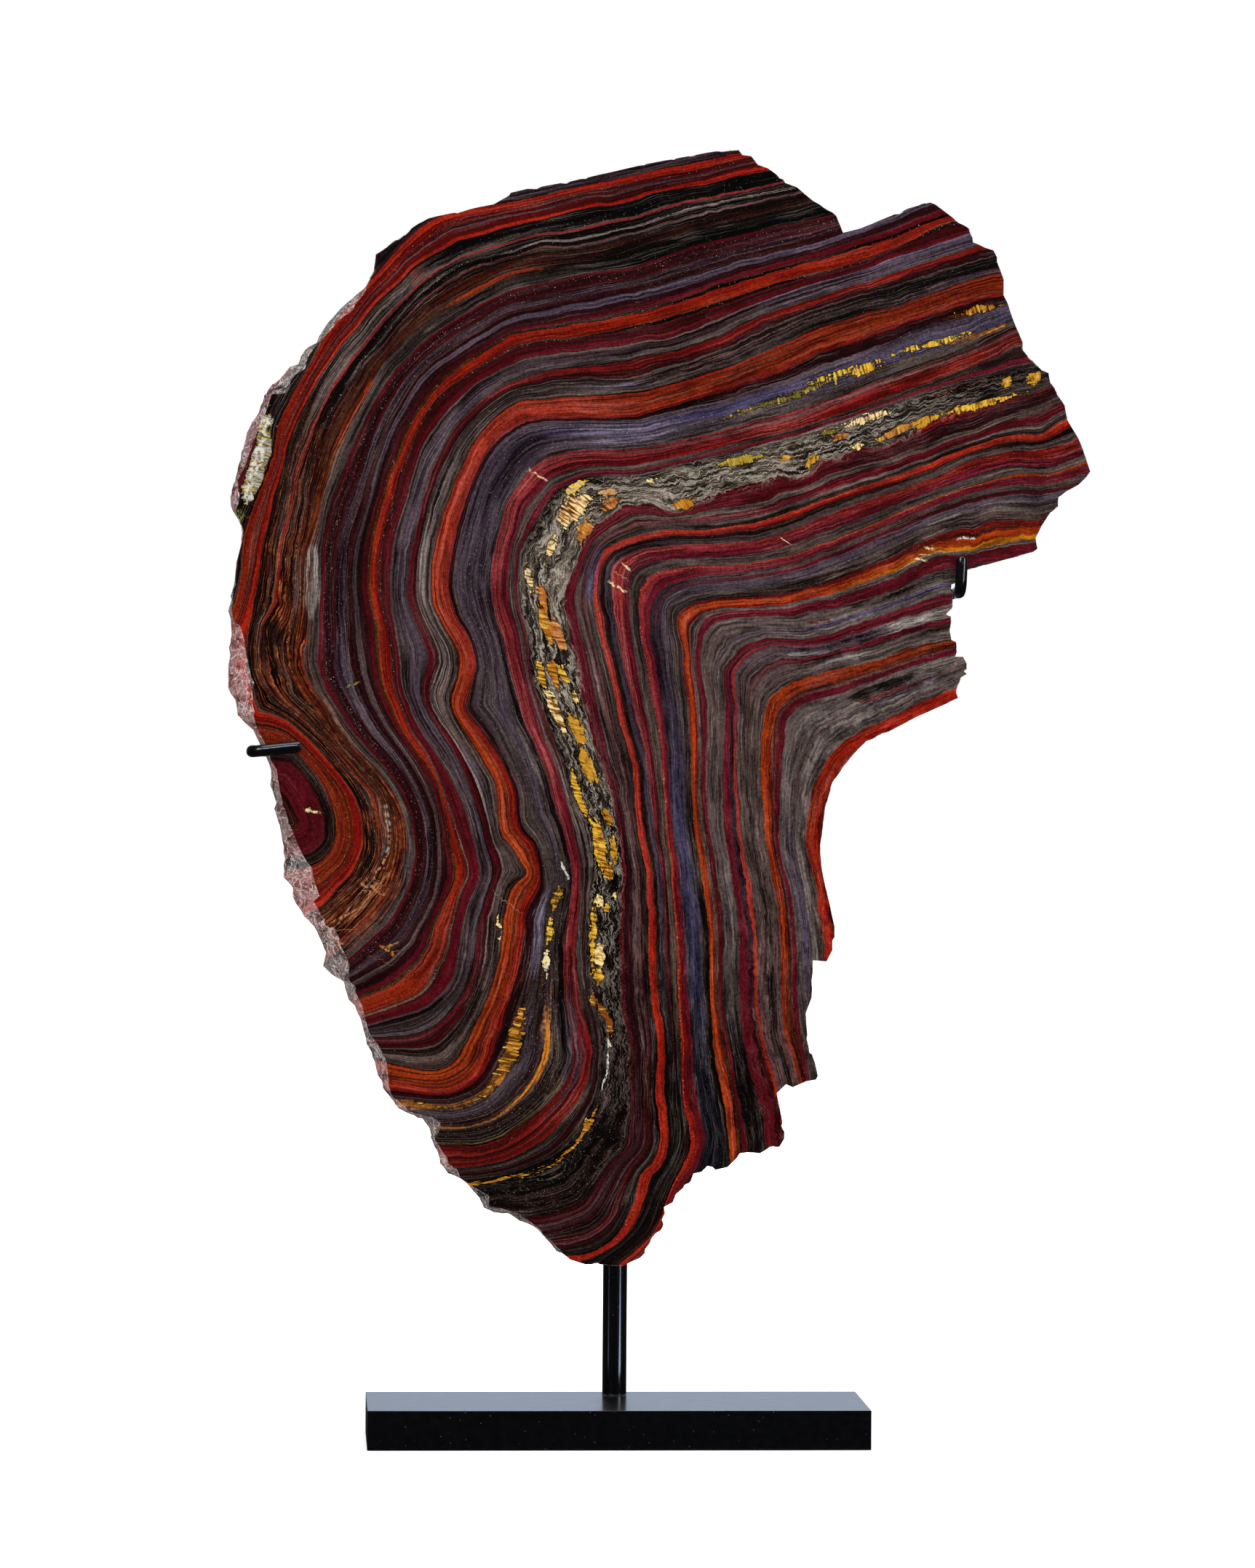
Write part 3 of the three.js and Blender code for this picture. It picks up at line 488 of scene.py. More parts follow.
      175: 152, 185: 152, 190: 154, 205: 156}, [
      (0, "umber taupe taupe taupe umber", 0.9, 0.3)]),
    ({88: 160, 100: 160, 110: 160.8, 115: 160.2, 120: 160, 125: 158.8, 128: 157.4, 131: 158, 140: 159,
      145: 158, 150: 158, 170: 157, 205: 159}, [
      (0, "wine wine wine umber maroon", 0.2, 0.1),
      (0.42, "steel grey umber steel umber", 1, 0.3)]),
    ({88: 165, 92: 164, 98: 163.5, 104: 164.2, 108: 166, 112: 167, 118: 167.4, 122: 165.5, 128: 165, 132: 164,
      136: 166, 140: 164, 143: 161, 146: 163, 150: 165, 165: 165, 172: 164, 180: 165, 205: 165}, [
      (0, "charcoal seamGrey seamGrey umber charcoal", 1, 0.5),
      (0.5, "steel seamGrey seamGrey charcoal umber", 1, 0.5)]),
    ({84: 187, 90: 188.5, 96: 190, 100: 189.5, 104: 188, 108: 188, 112: 190, 116: 187, 120: 190, 123: 187,
      125: 190, 128: 190, 132: 187, 135: 188, 155: 188, 160: 190, 165: 190, 170: 188, 175: 186.5, 180: 188,
      190: 187, 200: 189, 210: 189}, [
      (0, "crimson crimson wine crimson deepCrimson", 0.4, 0.1),
      (0.4, "maroon crimson wine maroon maroon", 0.4, 0.1)]),
    ({80: 193, 84: 194, 88: 195, 92: 199.3, 96: 198.6, 100: 196.5, 104: 196, 110: 195, 112: 196.5, 116: 198.2,
      120: 198.2, 122: 196, 124: 192, 126: 196, 130: 196, 134: 194, 145: 195, 155: 194, 160: 197, 170: 196,
      210: 196}, [
      (0, "taupe grey taupe taupe maroon", 0.9, 0.4),
      (0.28, "crimson wine rosyGrey rosyGrey deepCrimson", 0.7, 0.2),
      (0.55, "crimson wine rosyGrey maroon maroon", 0.6, 0.2),
      (0.66, "grey grey taupe umber umber", 0.8, 0.3),
      (0.8, "umber umber steel umber charcoal", 0.6, 0.2)]),
    ({81: 205.5, 85: 206.5, 92: 207.4, 96: 207, 100: 205.5, 110: 205.3, 113: 207.3, 116: 206.5, 120: 207,
      124: 208, 128: 208, 132: 206, 136: 205.4, 150: 206, 155: 205, 160: 206.5, 165: 206, 170: 205.5,
      180: 205.5, 188: 204.6, 192: 206, 200: 205, 208: 206, 214: 207}, [
      (0, "coral coral coral coral brightRed", 0.2, 0.7),
      (0.3, "brightRed brightRed coral brightRed brightRed", 0.3, 0.1),
      (0.72, "red crimson rose red orangeRed", 0.3, 0.1)]),
    ({81: 210, 85: 210, 92: 210.6, 96: 210.4, 100: 209, 110: 208.6, 113: 210.2, 120: 210, 124: 210.6,
      128: 210.6, 132: 209.6, 136: 209, 145: 209.4, 155: 209, 160: 210, 165: 209.4, 175: 209, 190: 209,
      200: 208.6, 208: 209.5, 214: 210.5}, [
      (0, "umber umber umber umber charcoal", 0.5, 0.2),
      (0.4, "taupe taupe plumDark purpleGrey charcoal", 0.6, 0.2)]),
    ({81: 213, 90: 216, 96: 216, 100: 215.4, 110: 215, 120: 215, 128: 214, 133: 211.8, 137: 212, 145: 213.5,
      150: 214, 155: 215, 160: 214.5, 180: 214, 215: 214}, [
      (0, "red rose rose wine charcoal", 0.6, 0.3),
      (0.5, "wine wine wine deepCrimson charcoal", 0.6, 0.2)]),
    ({81: 224, 90: 225.6, 100: 225.6, 110: 225, 115: 224, 120: 223, 125: 222.3, 130: 221, 135: 219.5,
      140: 220, 150: 221, 155: 222, 160: 220, 165: 219, 175: 220, 185: 219, 195: 220, 215: 221}, [
      (0, "steel taupe taupe oliveGrey charcoal", 0.7, 0.2),
      (0.5, "taupe taupe steel oliveGrey brown", 0.7, 0.2)]),
    ({80: 227.5, 86: 228, 90: 229.7, 94: 230.6, 100: 230, 104: 230.6, 110: 231, 114: 230.2, 120: 228.5,
      125: 227, 130: 226, 135: 227, 140: 227.5, 155: 228.4, 160: 228, 165: 227, 175: 227.5, 185: 227,
      195: 227, 201: 226, 208: 227, 214: 229}, [
      (0, "orange coral rose coral brightRed", 0.2, 0.9),
      (0.24, "wine wine rose red red", 0.3, 0.3),
      (0.5, "wine wine wine wine crimson", 0.3, 0.1)]),
    ({80: 231.5, 86: 231.5, 90: 233, 94: 233.6, 104: 234, 110: 234.4, 114: 234, 120: 233.2, 125: 232,
      130: 232.3, 140: 233, 145: 233, 150: 232.4, 160: 232.4, 170: 231.5, 200: 231.5, 215: 234}, [
      (0, "taupe taupe plumDark indigoDark nightBlue", 0.6, 0.2),
      (0.16, "deepCrimson wine plumDark indigo nightBlue", 0.3, 0.1),
      (0.29, "greyLavender greyLavender plumDark indigo nightBlue", 0.6, 0.2),
      (0.5, "steel purpleGrey plumDark indigoDark nightBlue", 0.6, 0.2),
      (0.62, "grey grey steel indigoDark nightBlue", 0.6, 0.3),
      (0.72, "taupe umber steel umber charcoal", 0.8, 0.2)]),
    ({82: 249.5, 96: 249.8, 110: 249.5, 120: 249, 125: 249, 130: 247.5, 132: 246.4, 134: 249.6, 143: 249.8,
      155: 249, 160: 248.4, 165: 249, 175: 249.5, 190: 248.5, 195: 247.6, 200: 248, 208: 249, 216: 250}, [
      (0, "red crimson red orange orange", 0.3, 0.4),
      (0.24, "rust ember orange orange orange", 0.3, 0.1),
      (0.36, "orange orange orange orange orange", 0.5, 0.2),
      (0.74, "gold orangeRed red orangeRed orangeRed", 0.4, 0.1)]),
    ({82: 255.5, 90: 256, 96: 256, 100: 255, 108: 254.5, 126: 254.8, 130: 253.5, 132: 252.6, 134: 255.2,
      140: 255, 146: 254, 150: 252.6, 155: 252.2, 160: 254, 175: 253, 182: 252, 190: 253, 195: 252.5,
      200: 254.4, 216: 254}, [
      (0, "grey grey taupe oliveGrey rust", 0.6, 0.5)]),
    ({84: 256, 95: 257, 100: 256.8, 128: 256, 132: 257, 140: 258, 150: 257, 158: 256.4, 165: 257, 175: 257,
      180: 256, 190: 254.5, 195: 256, 200: 257.8, 205: 256.5, 215: 258}, [
      (0, "crimson wine wine crimson crimson", 0.3, 0.1)]),
    ({84: 260, 95: 262.4, 105: 262, 110: 261.5, 120: 260.5, 127: 259, 132: 259, 137: 261, 145: 260.5,
      175: 260, 185: 258, 190: 258.5, 195: 259.5, 199: 261, 205: 258.5, 215: 261}, [
      (0, "steel grey taupe grey charcoal", 0.65, 0.3),
      (0.4, "grey paleGrey taupe greyLavender charcoal", 0.65, 0.3),
      (0.55, "indigo lavender taupe paleGrey charcoal", 0.6, 0.2),
      (0.7, "grey paleGrey taupe grey charcoal", 0.65, 0.2)]),
    ({95: 271.6, 110: 271.4, 116: 272.4, 120: 273.6, 124: 271.4, 127: 271, 130: 273, 133: 272, 150: 271.5,
      155: 270.5, 160: 270, 165: 271, 170: 272, 218: 272}, [
      (0, "wine wine wine wine crimson", 0.2, 0.1),
      (0.48, "deepCrimson crimson plum plum deepCrimson", 0.6, 0.2),
      (0.74, "crimson wine rose coral orangeRed", 0.2, 0.2)]),
    ({95: 276, 104: 275.6, 115: 276.5, 118: 277.5, 120: 278.3, 125: 276.8, 130: 278, 140: 278, 170: 278,
      185: 278, 195: 279, 215: 279}, [
      (0, "paleGrey greyLavender taupe taupe rosyGrey", 0.65, 0.4),
      (0.36, "wine wine taupe umber taupe", 0.8, 0.2),
      (0.52, "umber grey taupe taupe umber", 0.7, 0.3),
      (0.72, "grey grey taupe taupe rosyGrey", 0.65, 0.3)]),
    ({96: 293, 100: 292, 104: 291.5, 108: 292, 112: 293, 125: 293.8, 130: 293.4, 135: 292.5, 145: 293,
      148: 292, 152: 291.5, 158: 292, 163: 293, 190: 293, 197: 292, 203: 293, 209: 294.5}, [
      (0, "rust ember orange ember ember", 0.3, 0.3),
      (0.14, "orange ember orange orange ember", 0.5, 0.1),
      (0.3, "rust ember ember ember rust", 0.5, 0.1),
      (0.5, "rust rust rust rust rust", 0.5, 0.2),
      (0.62, "wine rosyGrey wine rosyGrey crimson", 0.3, 0.6),
      (0.74, "wine wine crimson wine crimson", 0.2, 0.1)]),
    ({96: 304, 104: 303.6, 120: 304.5, 135: 304, 142: 304, 146: 301.8, 150: 300.8, 153: 301.4, 157: 304,
      185: 304, 195: 303.5, 212: 302}, [
      (0, "paleGrey grey grey grey steel", 0.5, 0.3),
      (0.2, "grey paleGrey grey lavender steel", 0.6, 0.4),
      (0.44, "taupe grey taupe greyLavender umber", 0.7, 0.2),
      (0.58, "grey paleGrey grey paleGrey steel", 0.6, 0.3),
      (0.8, "taupe grey grey taupe umber", 0.7, 0.3)]),
    ({96: 322, 105: 321.6, 110: 322, 115: 322.6, 120: 324, 125: 325, 130: 324.4, 135: 323, 145: 322, 150: 324,
      155: 325, 160: 324, 170: 324, 178: 323}, [
      (0, "brightRed brightRed ember brightRed brightRed", 0.4, 0.1),
      (0.3, "brightRed brightRed orangeRed brightRed brightRed", 0.5, 0.2),
      (0.45, "red orangeRed ember rust rust", 0.6, 0.1),
      (0.8, "brown rust rust brown brown", 0.5, 0.1)]),
    ({95: 336}, [(0, "brown brown rust brown brown", 0.4, 0.1)]),
]

# Lens-shaped eyes of fibrous quartz:
# (turn, height, half length in degrees, half thickness in mm, colour, second colour)
eyes = [
    # in the crinkled seam
    (86, 173, 0.6, 6, "yellowQuartz", "amberQuartz"), (88.5, 171, 0.5, 5, "yellowQuartz", "amberQuartz"),
    (103, 165.5, 2, 2, "peachQuartz", "creamQuartz"), (106, 173.5, 0.8, 2.5, "peachQuartz", "orangeQuartz"),
    (107, 167.5, 0.8, 1.5, "limeQuartz", "oliveQuartz"), (116.5, 171, 1.8, 2.5, "yellowQuartz", "limeQuartz"),
    (91.5, 187, 3.5, 2.2, "amberQuartz", "yellowQuartz"), (97, 187, 1, 3, "yellowQuartz", "amberQuartz"),
    (100, 184, 2, 3, "peachQuartz", "amberQuartz"), (104.5, 186, 0.5, 2.5, "yellowQuartz", "creamQuartz"),
    (109.5, 184, 0.7, 3, "yellowQuartz", "amberQuartz"), (112, 177, 0.6, 1.5, "orangeQuartz", "amberQuartz"),
    (125, 170, 0.5, 1.3, "yellowQuartz", "creamQuartz"),
    (123.5, 185, 0.9, 2.5, "orangeQuartz", "amberQuartz"), (129, 174, 0.7, 2.5, "creamQuartz", "peachQuartz"),
    (129.5, 183, 0.9, 3.5, "orangeQuartz", "peachQuartz"),
    (132.4, 173.2, 1.8, 5, "orangeQuartz", "creamQuartz"), (131, 164, 1, 2, "creamQuartz", "yellowQuartz"),
    (133, 185, 1, 3, "peachQuartz", "orangeQuartz"), (136.4, 174, 0.9, 1.7, "peachQuartz", "creamQuartz"),
    (140, 168, 0.6, 2, "peachQuartz", "creamQuartz"), (142.5, 173.5, 1.1, 3.5, "orangeQuartz", "amberQuartz"),
    (140.5, 175, 0.6, 3, "peachQuartz", "orangeQuartz"), (142.5, 180, 1, 4, "orangeQuartz", "peachQuartz"),
    (146, 174.5, 0.8, 2.5, "orangeQuartz", "amberQuartz"), (147, 167.5, 1, 2, "amberQuartz", "yellowQuartz"),
    (145.5, 179.5, 0.5, 2, "amberQuartz", "yellowQuartz"),
    (149.5, 169.5, 1.5, 2.5, "amberQuartz", "creamQuartz"), (147, 183, 0.4, 2, "yellowQuartz", "creamQuartz"),
    (150, 179, 1.2, 4, "yellowQuartz", "amberQuartz"), (153.3, 179, 1.6, 4.2, "yellowQuartz", "amberQuartz"),
    (157, 167.5, 2.2, 2.2, "amberQuartz", "yellowQuartz"),
    (158.5, 182.5, 0.9, 2.5, "brownQuartz", "amberQuartz"),
    (162.5, 172.5, 3, 5, "amberQuartz", "yellowQuartz"),
    (162.5, 184, 1.6, 2.8, "yellowQuartz", "amberQuartz"), (165.5, 178, 1, 4, "brownQuartz", "amberQuartz"),
    (170, 172, 0.8, 2.5, "yellowQuartz", "creamQuartz"), (174, 168, 3, 1.5, "amberQuartz", "yellowQuartz"),
    (178, 172.5, 1.5, 3.5, "yellowQuartz", "creamQuartz"), (181, 171.5, 1, 3, "amberQuartz", "yellowQuartz"),
    (176, 166, 3, 1, "amberQuartz", "yellowQuartz"), (171, 179, 0.5, 2, "amberQuartz", "yellowQuartz"),
    (169, 184, 0.4, 1, "yellowQuartz", "creamQuartz"), (184.5, 164, 0.8, 3, "rustQuartz", "brownQuartz"),
    (186, 170, 1, 3, "rustQuartz", "brownQuartz"), (188, 173, 1.6, 3, "rustQuartz", "brownQuartz"),
    (191, 170.5, 0.4, 1.5, "creamQuartz", "whiteQuartz"),
    (201.5, 167, 1.5, 1.3, "brownQuartz", "amberQuartz"),
    # between the broad orange bed and the rose bed
    (91.5, 127, 1.4, 1.4, "brownQuartz", "amberQuartz"), (96, 137.6, 2.2, 0.9, "limeQuartz", "yellowQuartz"),
    (102, 139.8, 1.3, 1.8, "amberQuartz", "yellowQuartz"), (105, 138, 1.4, 0.9, "limeQuartz", "yellowQuartz"),
    (109.5, 141, 3, 0.9, "limeQuartz", "oliveQuartz"), (170.5, 136.5, 1.4, 2.5, "oliveQuartz", "amberQuartz"),
    (175, 136.5, 1.2, 1.5, "limeQuartz", "yellowQuartz"), (179, 136, 1.2, 1.2, "whiteQuartz", "creamQuartz"),
    (188.8, 127, 3, 1.7, "brownQuartz", "amberQuartz"),
    # in the folded core and the dark beds beside it
    (145.5, -5.5, 2.6, 3.7, "whiteQuartz", "oliveQuartz"),
    (175, 108, 0.5, 0.5, "yellowQuartz", "creamQuartz"),
]

# Soft patches where a layer changes shade:
# (turn, height, half length in degrees, half thickness in mm, colour, strength)
patches = [
    (150.5, 40, 2.5, 4.5, "silver", 0.75), (151, 29, 2.2, 3.5, "grey", 0.7),
    (133, 19.5, 7, 2.5, "steel", 0.6), (130, 19.5, 1.2, 2.5, "ember", 0.6), (157.5, 22, 4, 12, "umber", 0.8),
    (162, 33, 5, 9, "brown", 0.7), (170, 24, 6, 2, "grey", 0.6), (157, 53, 5, 3, "purpleGrey", 0.7),
    (133, -3, 2, 2, "rosyGrey", 0.8), (113, 104.5, 9, 1.5, "rosyGrey", 0.7),
    (105.5, 109.5, 1.8, 1.8, "olive", 0.7), (142, 104, 6, 3, "paleGrey", 0.6),
    (161, 104, 4, 2, "paleLavender", 0.6), (123, 106, 4, 1.5, "paleLavender", 0.5),
    (124, 134, 4.6, 9, "paleLavender", 0.55), (134, 133, 4.6, 9, "plumDark", 0.75),
    (155, 142, 4, 3, "paleGrey", 0.6), (171, -24, 9, 7, "rust", 0.8), (160, -13, 5, 3, "umber", 0.7),
    (96, 190.5, 2.5, 1.5, "orangeRed", 0.8), (135, 201, 3, 8, "indigo", 0.45),
    (103, 279.5, 5, 3.3, "silver", 0.6), (113, 280, 5.5, 3, "plum", 0.7),
    (120.5, 281.5, 2.5, 2, "silver", 0.6), (116, 288.5, 5.5, 2, "silver", 0.45),
    (108, 268, 14, 1, "indigo", 0.8), (116.5, 265.5, 2.5, 0.6, "red", 0.8), (101, 264, 7, 1, "black", 0.6),
    (111, 308.3, 7.5, 2.6, "black", 1), (108.5, 312, 8, 1.7, "crimson", 0.7),
    (108, 314.2, 12, 1.1, "paleLavender", 0.6), (187, 287.5, 9, 3.5, "charcoal", 0.6),
    (111, 40, 12, 4.5, "black", 0.85), (159, 159, 7, 3, "paleGrey", 0.5),
    (96, 242.5, 6, 1.2, "paleGrey", 0.5), (110, 244, 5, 0.8, "paleGrey", 0.45),
    (158.5, 28.5, 3.5, 1.8, "rustQuartz", 0.9), (161, 32, 2.5, 1.4, "peachQuartz", 0.7),
    (156.5, 22, 2, 1.2, "ember", 0.8), (167.5, 26, 2.6, 0.8, "whiteQuartz", 0.8),
    (168.5, 33, 4, 1.2, "rustQuartz", 0.7), (173.5, 30, 3.2, 1.2, "peachQuartz", 0.8),
    (174.5, 26, 3, 1.0, "peachStone", 0.7), (174, 35, 3, 1.0, "rustQuartz", 0.8),
    (126, 37.3, 4, 1.3, "ember", 0.9), (92.5, 165, 4, 1.2, "amberBrown", 0.9),
    (112, 169.5, 2.5, 1.2, "oliveQuartz", 0.7), (91.8, 127, 3, 1.7, "amberBrown", 0.9),
    (96, 137, 3.4, 1.2, "limeQuartz", 0.6), (92, 139.5, 3.6, 1, "gold", 0.7),
    (101, 142, 5, 1.1, "oliveQuartz", 0.7), (109, 140, 3.6, 1, "oliveQuartz", 0.7),
    (112, 142.2, 5, 1, "limeQuartz", 0.6), (184, 134.6, 4, 1.1, "gold", 0.42),
    (190, 137, 8, 1.1, "gold", 0.42), (183.5, 139.4, 3.4, 1, "gold", 0.4), (190.5, 127, 5, 1.8, "gold", 0.6),
    (197, 143.5, 4, 1, "olive", 0.7), (174, 129, 8, 4.5, "paleLavender", 0.5),
    (190, 131, 8, 3, "plumDark", 0.6), (190, 147, 10, 5, "plumDark", 0.5), (86, 150, 6, 45, "black", 0.25),
    (88.5, 176, 7, 11, "umber", 0.65), (193, 173, 9, 9, "maroon", 0.5),
    (139.5, 35.8, 3.5, 1.4, "orange", 0.9), (144.5, 36.5, 3.5, 1.8, "amberBrown", 0.9),
    (152, 10, 5, 6, "umber", 0.4), (166, 38, 4, 4, "taupe", 0.4),
]

# Thin mineral veins that cut across the layers, as straight runs in mm on the face:
# (x, z, x, z, half width, colour)
veins = [
    (-140, 383, -133, 386, 0.6, "limeQuartz"), (-161, 321, -152, 319, 0.9, "creamQuartz"),
    (-122, 252, -114, 246, 1.0, "amberQuartz"), (-119, 251, -112, 253, 0.8, "amberQuartz"),
    (-132, 284, -119, 277, 0.9, "peachQuartz"), (-129, 275, -123, 284, 0.8, "peachQuartz"),
    (-148, 258, -140, 252, 1.0, "peachQuartz"), (-117, 300, -126, 285, 0.6, "peachQuartz"),
    (-147, 263, -130, 272, 0.7, "peachQuartz"), (-48, 495, -38, 489, 0.8, "creamQuartz"),
    (-7, 438, 3, 433, 0.7, "creamQuartz"), (0, 448, 5, 444, 0.6, "creamQuartz"),
    (-5, 205, -5, 190, 0.6, "whiteQuartz"), (-5, 190, -8, 178, 0.6, "whiteQuartz"),
    (-30, 295, -25, 285, 0.6, "whiteQuartz"), (155, 457, 161, 457, 1.0, "creamQuartz"),
    (150, 451, 157, 451, 0.8, "creamQuartz"), (172, 462, 182, 462, 0.8, "whiteQuartz"),
    (-180.5, 520, -186, 500, 2.6, "whiteQuartz"), (-186, 500, -191, 477.5, 2.4, "whiteQuartz"),
    (-196, 473, -193, 467, 2.4, "limeQuartz"), (-90, 227, -65, 208, 0.25, "charcoal"),
    (-140, 241, -105, 235, 0.25, "charcoal"), (-95, 248, -50, 238, 0.25, "charcoal"),
    (147, 630, 152, 620, 0.3, "charcoal"), (152, 620, 156, 612, 0.3, "charcoal"),
    (81, 462, 87, 458, 0.3, "creamQuartz"), (-100, 605, -85, 625, 0.25, "umber"),
]


def smoothCurve(points):
    # a smooth curve through the points, as short straight steps
    step = 3.0  # mm
    p = np.array(points, float)
    rows = []
    for i in range(len(p) - 1):
        a, b = p[i], p[i + 1]
        before = p[i - 1] if i else 2 * a - b
        after = p[i + 2] if i + 2 < len(p) else 2 * b - a
        count = max(2, int(np.linalg.norm(b - a) / step))
        t = np.arange(count)[:, None] / count
        rows.append(0.5 * (2 * a + (b - before) * t + (2 * before - 5 * a + 4 * b - after) * t * t
                           + (3 * a - before - 3 * b + after) * t ** 3))
    return np.vstack(rows + [p[-1:]])


def insideLoop(loop, points):
    # true for each point that lies inside the closed loop
    order = np.argsort(points[:, 1], kind="stable")
    xs, zs = points[order, 0], points[order, 1]
    hit = np.zeros(len(points), bool)
    for (x1, z1), (x2, z2) in zip(loop, np.roll(loop, -1, axis=0)):
        if z1 == z2:
            continue
        i, j = np.searchsorted(zs, [min(z1, z2), max(z1, z2)])
        if i < j:
            hit[i:j] ^= xs[i:j] < x1 + (zs[i:j] - z1) * (x2 - x1) / (z2 - z1)
    inside = np.zeros(len(points), bool)
    inside[order] = hit
    return inside


def insideGuide(curve, points):
    # the guide, carried on well past both ends and closed round the open side of the fold
    headReach, footReach = 400, 60  # mm past each end
    farRight, farBelow = 900, -500
    outHead = curve[0] - curve[2]
    outFoot = curve[-1] - curve[-3]
    outHead /= np.linalg.norm(outHead)
    outFoot /= np.linalg.norm(outFoot)
    head, foot = curve[0] + outHead * headReach, curve[-1] + outFoot * footReach
    ring = np.vstack([curve, foot, [foot[0], farBelow], [farRight, farBelow], [farRight, head[1]], head])
    return insideLoop(ring, points)


def distanceTo(curve, points):
    atOnce = 4000  # points worked through together, to spare memory
    start, along = curve[:-1], curve[1:] - curve[:-1]
    length2 = (along ** 2).sum(1)
    best = np.empty(len(points))
    for k in range(0, len(points), atOnce):
        offset = points[k:k + atOnce, None, :] - start[None]
        t = np.clip((offset * along).sum(2) / length2, 0, 1)
        best[k:k + atOnce] = np.sqrt(((offset - t[..., None] * along) ** 2).sum(2)).min(1)
    return best


def heightInPile(points):
    # each point's height among the layers, from its distances to the guides on both sides of it
    curves = [smoothCurve(g) for g in layerGuides]
    count = sum(insideGuide(c, points).astype(int) for c in curves)
    height = np.zeros(len(points))
    last = len(curves)
    for k in range(last + 1):
        here = count == k
        if not here.any():
            continue
        if k == 0:
            height[here] = guideLevels[0] - distanceTo(curves[0], points[here])
        elif k == last:
            height[here] = guideLevels[-1] + distanceTo(curves[-1], points[here])
        else:
            above = distanceTo(curves[k - 1], points[here])
            below = distanceTo(curves[k], points[here])
            share = above / np.maximum(above + below, 1e-6)
            height[here] = guideLevels[k - 1] + (guideLevels[k] - guideLevels[k - 1]) * share
    return height


def turnOf(points):
    return np.degrees(np.arctan2(points[:, 1] - foldMiddle[1], points[:, 0] - foldMiddle[0])) % 360


def evenedLog():
    # the mean height of each packet's top: the pile as it would be with every layer even
    tops = [float(np.mean(list(path.values()))) for path, _ in layerLog]
    for i in range(1, len(tops)):
        tops[i] = max(tops[i], tops[i - 1] + thinnestPacket)
    return tops + [tops[-1] + lastPacket]


def evenedHeight(height, turn):
    # the same place in the evened pile, where every packet keeps one thickness
    tops = np.array(evenedLog())
    bounds = []
    for path, _ in layerLog:
        turns = sorted(path)
        here = np.interp(turn, turns, [path[k] for k in turns])
        bounds.append(here if not bounds else np.maximum(here, bounds[-1] + thinnestHere))
    bounds.append(bounds[-1] + lastPacket)
    bounds = np.array(bounds)
    packet = np.clip((height[None] >= bounds).sum(0) - 1, 0, len(layerLog) - 1)
    every = np.arange(len(height))
    low, high = bounds[packet, every], bounds[packet + 1, every]
    share = (height - low) / (high - low)
    return tops[packet] + share * (tops[packet + 1] - tops[packet])


def smoothStep(x):
    x = np.clip(x, 0, 1)
    return x * x * (3 - 2 * x)


def eyeFacts(turn, height, radius):
    # how deep each point lies in its nearest eye, in mm, and that eye's two colours
    best = np.full(len(turn), -9.0)
    colour = np.zeros((len(turn), 4))
    second = np.zeros((len(turn), 4))
    for t0, h0, halfTurn, halfHeight, name, other in eyes:
        flat = np.hypot((turn - t0) / halfTurn, (height - h0) / halfHeight)
        deep = (1 - flat) * np.minimum(halfTurn * radius, halfHeight)
        closer = deep > best
        best[closer] = deep[closer]
        colour[closer], second[closer] = linear(name), linear(other)
    return {"eye": np.maximum(best, -3), "eyeColour": colour, "eyeSecond": second}


def patchFacts(turn, height):
    amount = np.zeros(len(turn))
    tint = np.zeros((len(turn), 4))
    for t0, h0, halfTurn, halfHeight, name, strength in patches:
        flat = np.hypot((turn - t0) / halfTurn, (height - h0) / halfHeight)
        here = smoothStep((1.25 - flat) / 0.6) * strength
        stronger = here > amount
        amount[stronger] = here[stronger]
        tint[stronger] = linear(name)
    return {"patch": amount, "patchColour": tint}


def veinFacts(points):
    # for the nearest vein: how far to its side in half widths, how far from its ends in mm, and its colour
    side = np.full(len(points), 3.0)
    reach = np.full(len(points), -3.0)
    near = np.full(len(points), 1e9)
    colour = np.zeros((len(points), 4))
    for x1, z1, x2, z2, halfWidth, name in veins:
        start, end = np.array((x1, z1), float), np.array((x2, z2), float)
        length = np.linalg.norm(end - start)
        ahead = (end - start) / length
        along = (points - start) @ ahead
        across = (points - start) @ np.array((-ahead[1], ahead[0]))
        gap = np.hypot(across, np.maximum(0, np.abs(along - length / 2) - length / 2))
        closer = gap < near
        near[closer] = gap[closer]
        side[closer] = np.clip(across[closer] / halfWidth, -6, 6)
        reach[closer] = np.clip(length / 2 - np.abs(along[closer] - length / 2), -3, 3)
        colour[closer] = linear(name)
    return {"veinSide": side, "veinReach": reach, "veinColour": colour}


def stoneFacts(points, depth, dip):
    # every per-point value that the stone's material reads: points are x and z, depth is behind the face
    lean = points + np.outer(depth, dip)
    height, turn = heightInPile(lean), turnOf(lean)
    radius = np.linalg.norm(lean - np.array(foldMiddle), axis=1) * math.pi / 180  # mm to a degree of turn
    return {"strata": evenedHeight(height, turn), "turn": turn, **eyeFacts(turn, height, radius),
            **patchFacts(turn, height), **veinFacts(points)}


